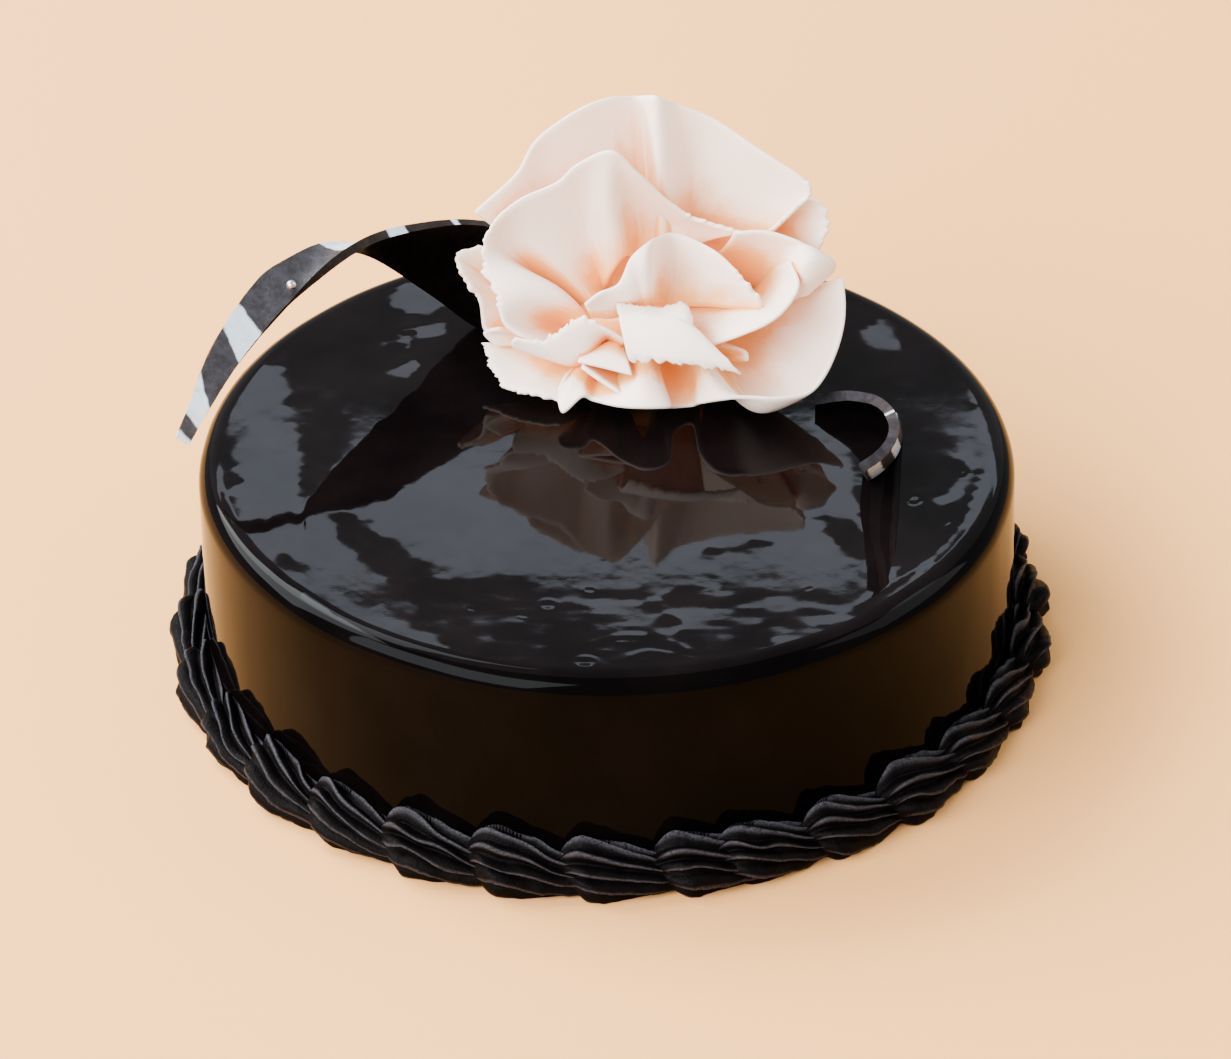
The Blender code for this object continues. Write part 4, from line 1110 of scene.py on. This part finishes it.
def enclosure_of(points, normals, solid):
    """How closed in each point is, from 0 in the open to 1 deep between the petals."""
    draw = random.Random(RAY_SEED)
    rays = []
    for k in range(RAYS):
        rise = math.sqrt((k + 0.5) / RAYS)
        turn = RAY_TURN * k + draw.uniform(-RAY_SPREAD, RAY_SPREAD)
        spread = math.sqrt(1 - rise * rise)
        rays.append((spread * math.cos(turn), spread * math.sin(turn), rise))
    values = []
    for point, normal in zip(points, normals):
        place, up = Vector(point), Vector(normal)
        side = up.orthogonal().normalized()
        other = up.cross(side)
        start = place + up * RAY_START
        shut = 0.0
        for a, b, c in rays:
            distance = solid.ray_cast(start, side * a + other * b + up * c, RAY_REACH)[3]
            if distance is not None:
                shut += 1.0 - RAY_LOSS * distance / RAY_REACH
        values.append(shut / RAYS)
    return np.array(values)


# A petal is thicker than its set thickness at the roots and thinner at the rim, and the
# rim's rounding bulges by a share of half of it.
ROOT_THICKNESS = 1.25
RIM_THICKNESS = 0.85
RIM_ROUNDING = 0.8

# How much more painted shade a petal's root gets than its rim, as a share of a fully closed-in
# point, and the power by which that fades.
ROOT_SHADE = 0.30
ROOT_SHADE_FADE = 1.2

# Each petal's noise has seeds of its own.
FIRST_PETAL_SEED = 40
SEEDS_PER_PETAL = 5


class CAKE_OT_flower(Operator):
    """Roll the flower's ruffled petals and set them round its heart"""
    bl_idname = "cake.flower"
    bl_label = "Flower"

    def execute(self, context):
        glaze = context.scene.cake_glaze
        flower = context.scene.cake_flower
        points, faces, inward, first = [], [], [], 0
        for k, (ribs, bow, torn) in enumerate(PETALS.values()):
            middle = petal_grid(ribs, bow, torn, flower, FIRST_PETAL_SEED + k * SEEDS_PER_PETAL)
            columns = middle.shape[1]
            taper = np.linspace(ROOT_THICKNESS, RIM_THICKNESS, columns)[None, :]
            leaf, leaf_faces, owner = thin_leaf(middle, flower.thickness * taper, RIM_ROUNDING)
            # 1 at the petal's roots and 0 at its rim.
            inward.append(1 - (owner % columns) / (columns - 1))
            faces += (leaf_faces + first).tolist()
            first += len(leaf)
            points.append(leaf)
        # The core's poles point up and down the flower's face.
        ball = ball_grid(*CORE_GRID, CORE_GAP)[..., [0, 2, 1]] * (1, 1, -1)
        core = face_point(np.array(CORE_CENTRE) + ball * CORE_RADII).reshape(-1, 3)
        faces += grid_faces(*CORE_GRID, closed=True, first=first).tolist()
        points.append(core)
        inward.append(np.ones(len(core)))
        points = np.concatenate(points)
        stop_at_glaze(glaze, points)
        piece = new_piece("petals", points, faces, petal_material(flower), "flower")
        normals = np.zeros(len(points) * 3, np.float32)
        piece.data.vertices.foreach_get("normal", normals)
        solid = BVHTree.FromPolygons(points.tolist(), faces)
        depth = enclosure_of(points, normals.reshape(-1, 3).tolist(), solid)
        # Stores painted shade: how closed in each point is, plus more towards the roots, for the material
        # to turn orange.
        paint_points(piece, "depth_shade", depth + ROOT_SHADE * np.concatenate(inward) ** ROOT_SHADE_FADE)
        return {"FINISHED"}


# Steps between the points along the ribbon and the curl, in metres, the points across each,
# and how far the curl is drawn on past the glaze's top, which then stops it.
RIBBON_STEP = 0.0008
RIBBON_ACROSS = 25
CURL_STEP = 0.0006
CURL_ACROSS = 20
CURL_SINK = 0.003


def ribbon_middle(glaze):
    """The grid of the ribbon's middle surface, from its near edge to its far edge."""
    near = above_glaze(glaze, RIBBON_NEAR)
    far = above_glaze(glaze, RIBBON_FAR)
    values = even_values(near, RIBBON_STEP)
    near_line = curve_points(near, values)[:, None]
    far_line = curve_points(far, even_values(far, count=len(values) - 1))[:, None]
    v = np.linspace(0, 1, RIBBON_ACROSS)[None, :, None]
    return near_line * (1 - v) + far_line * v


def curl_middle(glaze):
    """The grid of the curl's middle surface, from its near edge down into the glaze."""
    edge = above_glaze(glaze, CURL_EDGE)
    near = curve_points(edge, even_values(edge, CURL_STEP))
    reach = CURL_REACH / np.linalg.norm(CURL_REACH)
    normal = np.array((glaze.lean_right, glaze.lean_back, 1.0))
    normal /= np.linalg.norm(normal)
    top = np.array((0.0, 0.0, glaze.height))
    length = ((top - near) @ normal) / (reach @ normal) + CURL_SINK
    v = np.linspace(0, 1, CURL_ACROSS)[None, :, None]
    return near[:, None] + reach * length[:, None, None] * v


def strip_place(middle):
    """Metres along and across a strip at each point of its grid."""
    along = lengths_along(middle[:, middle.shape[1] // 2])
    across = lengths_along(middle, axis=1)
    along = np.broadcast_to(along[:, None], across.shape)
    return np.stack([along, across, np.zeros_like(across)], axis=-1)


# A strip's unevenness, as (height, size of the lumps) in millimetres, and the angle from
# which its edges are sharp.
STRIP_SKIN = ((0.05, 4.0), (0.03, 1.5))
STRIP_SEED = 30
SHARP_ANGLE = math.radians(35)


def add_strip(name, middle, thickness, materials, glaze, node):
    """A square-edged strip of chocolate that ends at the glaze. Its materials are those of
    its outer face, its inner face and its cut edges."""
    bumpy = layered_lumps(millimetres(middle), STRIP_SKIN, STRIP_SEED)
    middle = middle + row_normals(middle) * bumpy[..., None] * MM
    points, faces, owner = thin_leaf(middle, thickness, 0.0)
    stop_at_glaze(glaze, points)
    piece = new_piece(name, points, faces.tolist(), materials[0], node)
    piece.data.set_sharp_from_angle(angle=SHARP_ANGLE)
    paint_points(piece, "place", strip_place(middle).reshape(-1, 3)[owner])
    for material in materials[1:]:
        piece.data.materials.append(material)
    each = (middle.shape[0] - 1) * (middle.shape[1] - 1)
    side = np.full(len(piece.data.polygons), 2, np.int32)
    side[:each] = 0
    side[each:2 * each] = 1
    piece.data.polygons.foreach_set("material_index", side)


# Indices of refraction of a strip's outer face, its inner face and its cut edges.
OUTER_IOR = 1.36
INNER_IOR = 1.12
EDGE_IOR = 1.21


def strip_materials(name, garnish, edge, stripes, edge_stripes):
    """The finishes of a strip's outer face, its inner face, whose near-black colour is painted
    shade, and its cut edges, which have a colour of their own."""
    return [chocolate_material(name, garnish.chocolate, garnish, stripes, OUTER_IOR),
            chocolate_material(name + "_inside", garnish.inside, garnish, [], INNER_IOR),
            chocolate_material(name + "_edge", edge, garnish, edge_stripes, EDGE_IOR)]


def straight(*stripes):
    """Stripes without a slant, from their (start, end)."""
    return [(start, end, 0.0, 0.0) for start, end in stripes]


# Stripes of the ribbon's outer face and of its cut edge, and those of the curl, as
# (start, end, slant of the start, slant of the end), from the ribbon's tip and the curl's
# back end.
RIBBON_STRIPES = [*straight((-0.002, 0.0017)), (0.0050, 0.0108, 0.23, 0.57),
                  (0.0251, 0.0357, 0.21, -0.18), (0.0683, 0.0830, -0.50, -0.95)]
RIBBON_EDGE_STRIPES = straight((-0.002, 0.0017), (0.0050, 0.0108), (0.0812, 0.0866), (0.1015, 0.1033))
CURL_STRIPES = straight((0.0085, 0.0185), (0.0250, 0.0268), (0.0390, 0.0442), (0.0500, 0.0548),
                        (0.0600, 0.0630))
CURL_EDGE_STRIPES = straight((0.0254, 0.0266), (0.0610, 0.0632))


class CAKE_OT_ribbon(Operator):
    """Bend the striped chocolate ribbon out over the cake's left side"""
    bl_idname = "cake.ribbon"
    bl_label = "Chocolate Ribbon"

    def execute(self, context):
        glaze = context.scene.cake_glaze
        garnish = context.scene.cake_garnish
        materials = strip_materials("dark_chocolate", garnish, garnish.edge, RIBBON_STRIPES,
                                    RIBBON_EDGE_STRIPES)
        add_strip("striped_ribbon", ribbon_middle(glaze), garnish.ribbon, materials, glaze,
                  "chocolate_ribbon")
        return {"FINISHED"}


class CAKE_OT_curl(Operator):
    """Set the small chocolate curl in the glaze beside the flower"""
    bl_idname = "cake.curl"
    bl_label = "Chocolate Curl"

    def execute(self, context):
        glaze = context.scene.cake_glaze
        garnish = context.scene.cake_garnish
        materials = strip_materials("curl_chocolate", garnish, garnish.chocolate, CURL_STRIPES,
                                    CURL_EDGE_STRIPES)
        add_strip("small_curl", curl_middle(glaze), garnish.curl, materials, glaze,
                  "chocolate_curl")
        return {"FINISHED"}


# The pearl's rows and columns of points, the angle that is left open at its poles, and its
# unevenness as shares of its radius: how high its lumps are and how big.
PEARL_GRID = (22, 40)
PEARL_GAP = 0.03
PEARL_LUMPS = 0.02
PEARL_LUMP_SIZE = 0.6


class CAKE_OT_pearl(Operator):
    """Rest the silver sugar pearl on the ribbon's outer face"""
    bl_idname = "cake.pearl"
    bl_label = "Sugar Pearl"

    def execute(self, context):
        garnish = context.scene.cake_garnish
        low, high = (np.array(corner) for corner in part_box("sugar_pearl"))
        ball = ball_grid(*PEARL_GRID, PEARL_GAP)
        ball = ball * (garnish.pearl * (1 + PEARL_LUMPS * lumps(ball, PEARL_LUMP_SIZE, 9)))[..., None]
        points = ((low + high) / 2 + ball).reshape(-1, 3)
        new_piece("silver_pearl", points, tube_faces(*PEARL_GRID), silver_material(garnish),
                  "sugar_pearl")
        return {"FINISHED"}


# The stage: half the floor's width, the world's tint, and the point that the lights face.
# A light has its place, its width and height in metres, its colour and the setting that
# gives how bright it is.
FLOOR_HALF = 4
WORLD_TINT = (0.93, 0.95, 1.0, 1.0)
LIGHT_TARGET = Vector((0, 0, 0.06))
WHITE_LIGHT = (1, 0.99, 0.98)
LIGHTS = {
    "left_softbox": ((-1.15, 0.55, 1.15), (1.3, 1.1), WHITE_LIGHT, "key"),
    "front_panel": ((-1.5, -1.5, 1.5), (2.4, 1.8), WHITE_LIGHT, "front"),
    "right_panel": ((1.5, 0.1, 1.1), (1.2, 1.0), WHITE_LIGHT, "right"),
    "top_panel": ((-0.78, 0.9, 1.9), (1.1, 0.8), (0.93, 0.96, 1.0), "top"),
    "back_strip": ((0, 1.976, 1.349), (2.2, 0.086), (0.80, 0.87, 1.0), "back"),
}


def add_softbox(name, place, size, colour, radiance):
    """A rectangular soft light that faces the cake."""
    light = bpy.data.lights.new(name, "AREA")
    light.shape = "RECTANGLE"
    light.size, light.size_y = size
    light.energy = radiance * math.pi * size[0] * size[1]
    light.color = colour
    lamp = bpy.data.objects.new(name, light)
    lamp.location = place
    lamp.rotation_euler = (LIGHT_TARGET - Vector(place)).to_track_quat("-Z", "Y").to_euler()
    bpy.context.scene.collection.objects.link(lamp)


def add_floor(scene):
    """A wide, pale floor under the cake."""
    mesh = bpy.data.meshes.new("floor")
    corners = [(x * FLOOR_HALF, y * FLOOR_HALF, 0) for x, y in ((-1, -1), (1, -1), (1, 1), (-1, 1))]
    mesh.from_pydata(corners, [], [(0, 1, 2, 3)])
    mesh.materials.append(floor_material(scene.cake_studio))
    floor = bpy.data.objects.new("floor", mesh)
    scene.collection.objects.link(floor)


def add_world(scene):
    """The even light from all round."""
    world = bpy.data.worlds.new("studio")
    world.use_nodes = True
    shade = world.node_tree.nodes["Background"]
    shade.inputs["Color"].default_value = WORLD_TINT
    shade.inputs["Strength"].default_value = scene.cake_studio.fill
    scene.world = world


def add_camera(scene):
    """The photograph's camera."""
    camera = bpy.data.cameras.new("photo_camera")
    camera.sensor_fit = "HORIZONTAL"
    camera.sensor_width = SENSOR
    camera.lens = FOCAL_PIXELS * SENSOR / PHOTO_WIDTH
    camera.clip_start = NEAREST
    camera.clip_end = FARTHEST
    forward = Vector((0, math.cos(CAMERA_PITCH), -math.sin(CAMERA_PITCH)))
    right = Vector((1, 0, 0))
    up = right.cross(forward)
    rolled = right * math.cos(CAMERA_ROLL) + up * math.sin(CAMERA_ROLL)
    turn = Matrix((rolled, rolled.cross(forward), -forward)).transposed().to_4x4()
    turn.translation = CAMERA_PLACE
    view = bpy.data.objects.new("photo_camera", camera)
    view.matrix_world = turn
    scene.collection.objects.link(view)
    scene.camera = view


class CAKE_OT_stage(Operator):
    """Set up the pale floor, the soft lights and the camera"""
    bl_idname = "cake.stage"
    bl_label = "Stage"

    def execute(self, context):
        scene = context.scene
        add_floor(scene)
        add_world(scene)
        for name, (place, size, colour, setting) in LIGHTS.items():
            add_softbox(name, place, size, colour, getattr(scene.cake_studio, setting))
        add_camera(scene)
        return {"FINISHED"}


class CAKE_PT_panel(Panel):
    """The pieces of the cake and the stage, in the order they are made"""
    bl_label = "Chocolate Cake"
    bl_idname = "CAKE_PT_panel"
    bl_space_type = "VIEW_3D"
    bl_region_type = "UI"
    bl_category = "Cake"

    def draw(self, context):
        for operator in OPERATORS:
            self.layout.operator(operator.bl_idname)


SETTINGS = {"cake_glaze": GlazeSettings, "cake_border": BorderSettings, "cake_flower": FlowerSettings,
            "cake_garnish": GarnishSettings, "cake_studio": StudioSettings}
OPERATORS = (CAKE_OT_glazed_body, CAKE_OT_shell_border, CAKE_OT_flower, CAKE_OT_ribbon, CAKE_OT_curl,
             CAKE_OT_pearl, CAKE_OT_stage)


def register():
    """Registers the settings, the operators and the panel."""
    for kind in (*SETTINGS.values(), *OPERATORS, CAKE_PT_panel):
        bpy.utils.register_class(kind)
    for name, kind in SETTINGS.items():
        setattr(bpy.types.Scene, name, PointerProperty(type=kind))


def unregister():
    """Takes them off again."""
    for name in SETTINGS:
        delattr(bpy.types.Scene, name)
    for kind in reversed((*SETTINGS.values(), *OPERATORS, CAKE_PT_panel)):
        bpy.utils.unregister_class(kind)


def main():
    """Makes every piece and the stage."""
    register()
    bpy.ops.cake.glazed_body()
    bpy.ops.cake.shell_border()
    bpy.ops.cake.flower()
    bpy.ops.cake.ribbon()
    bpy.ops.cake.curl()
    bpy.ops.cake.pearl()
    bpy.ops.cake.stage()


if __name__ == "__main__":
    main()
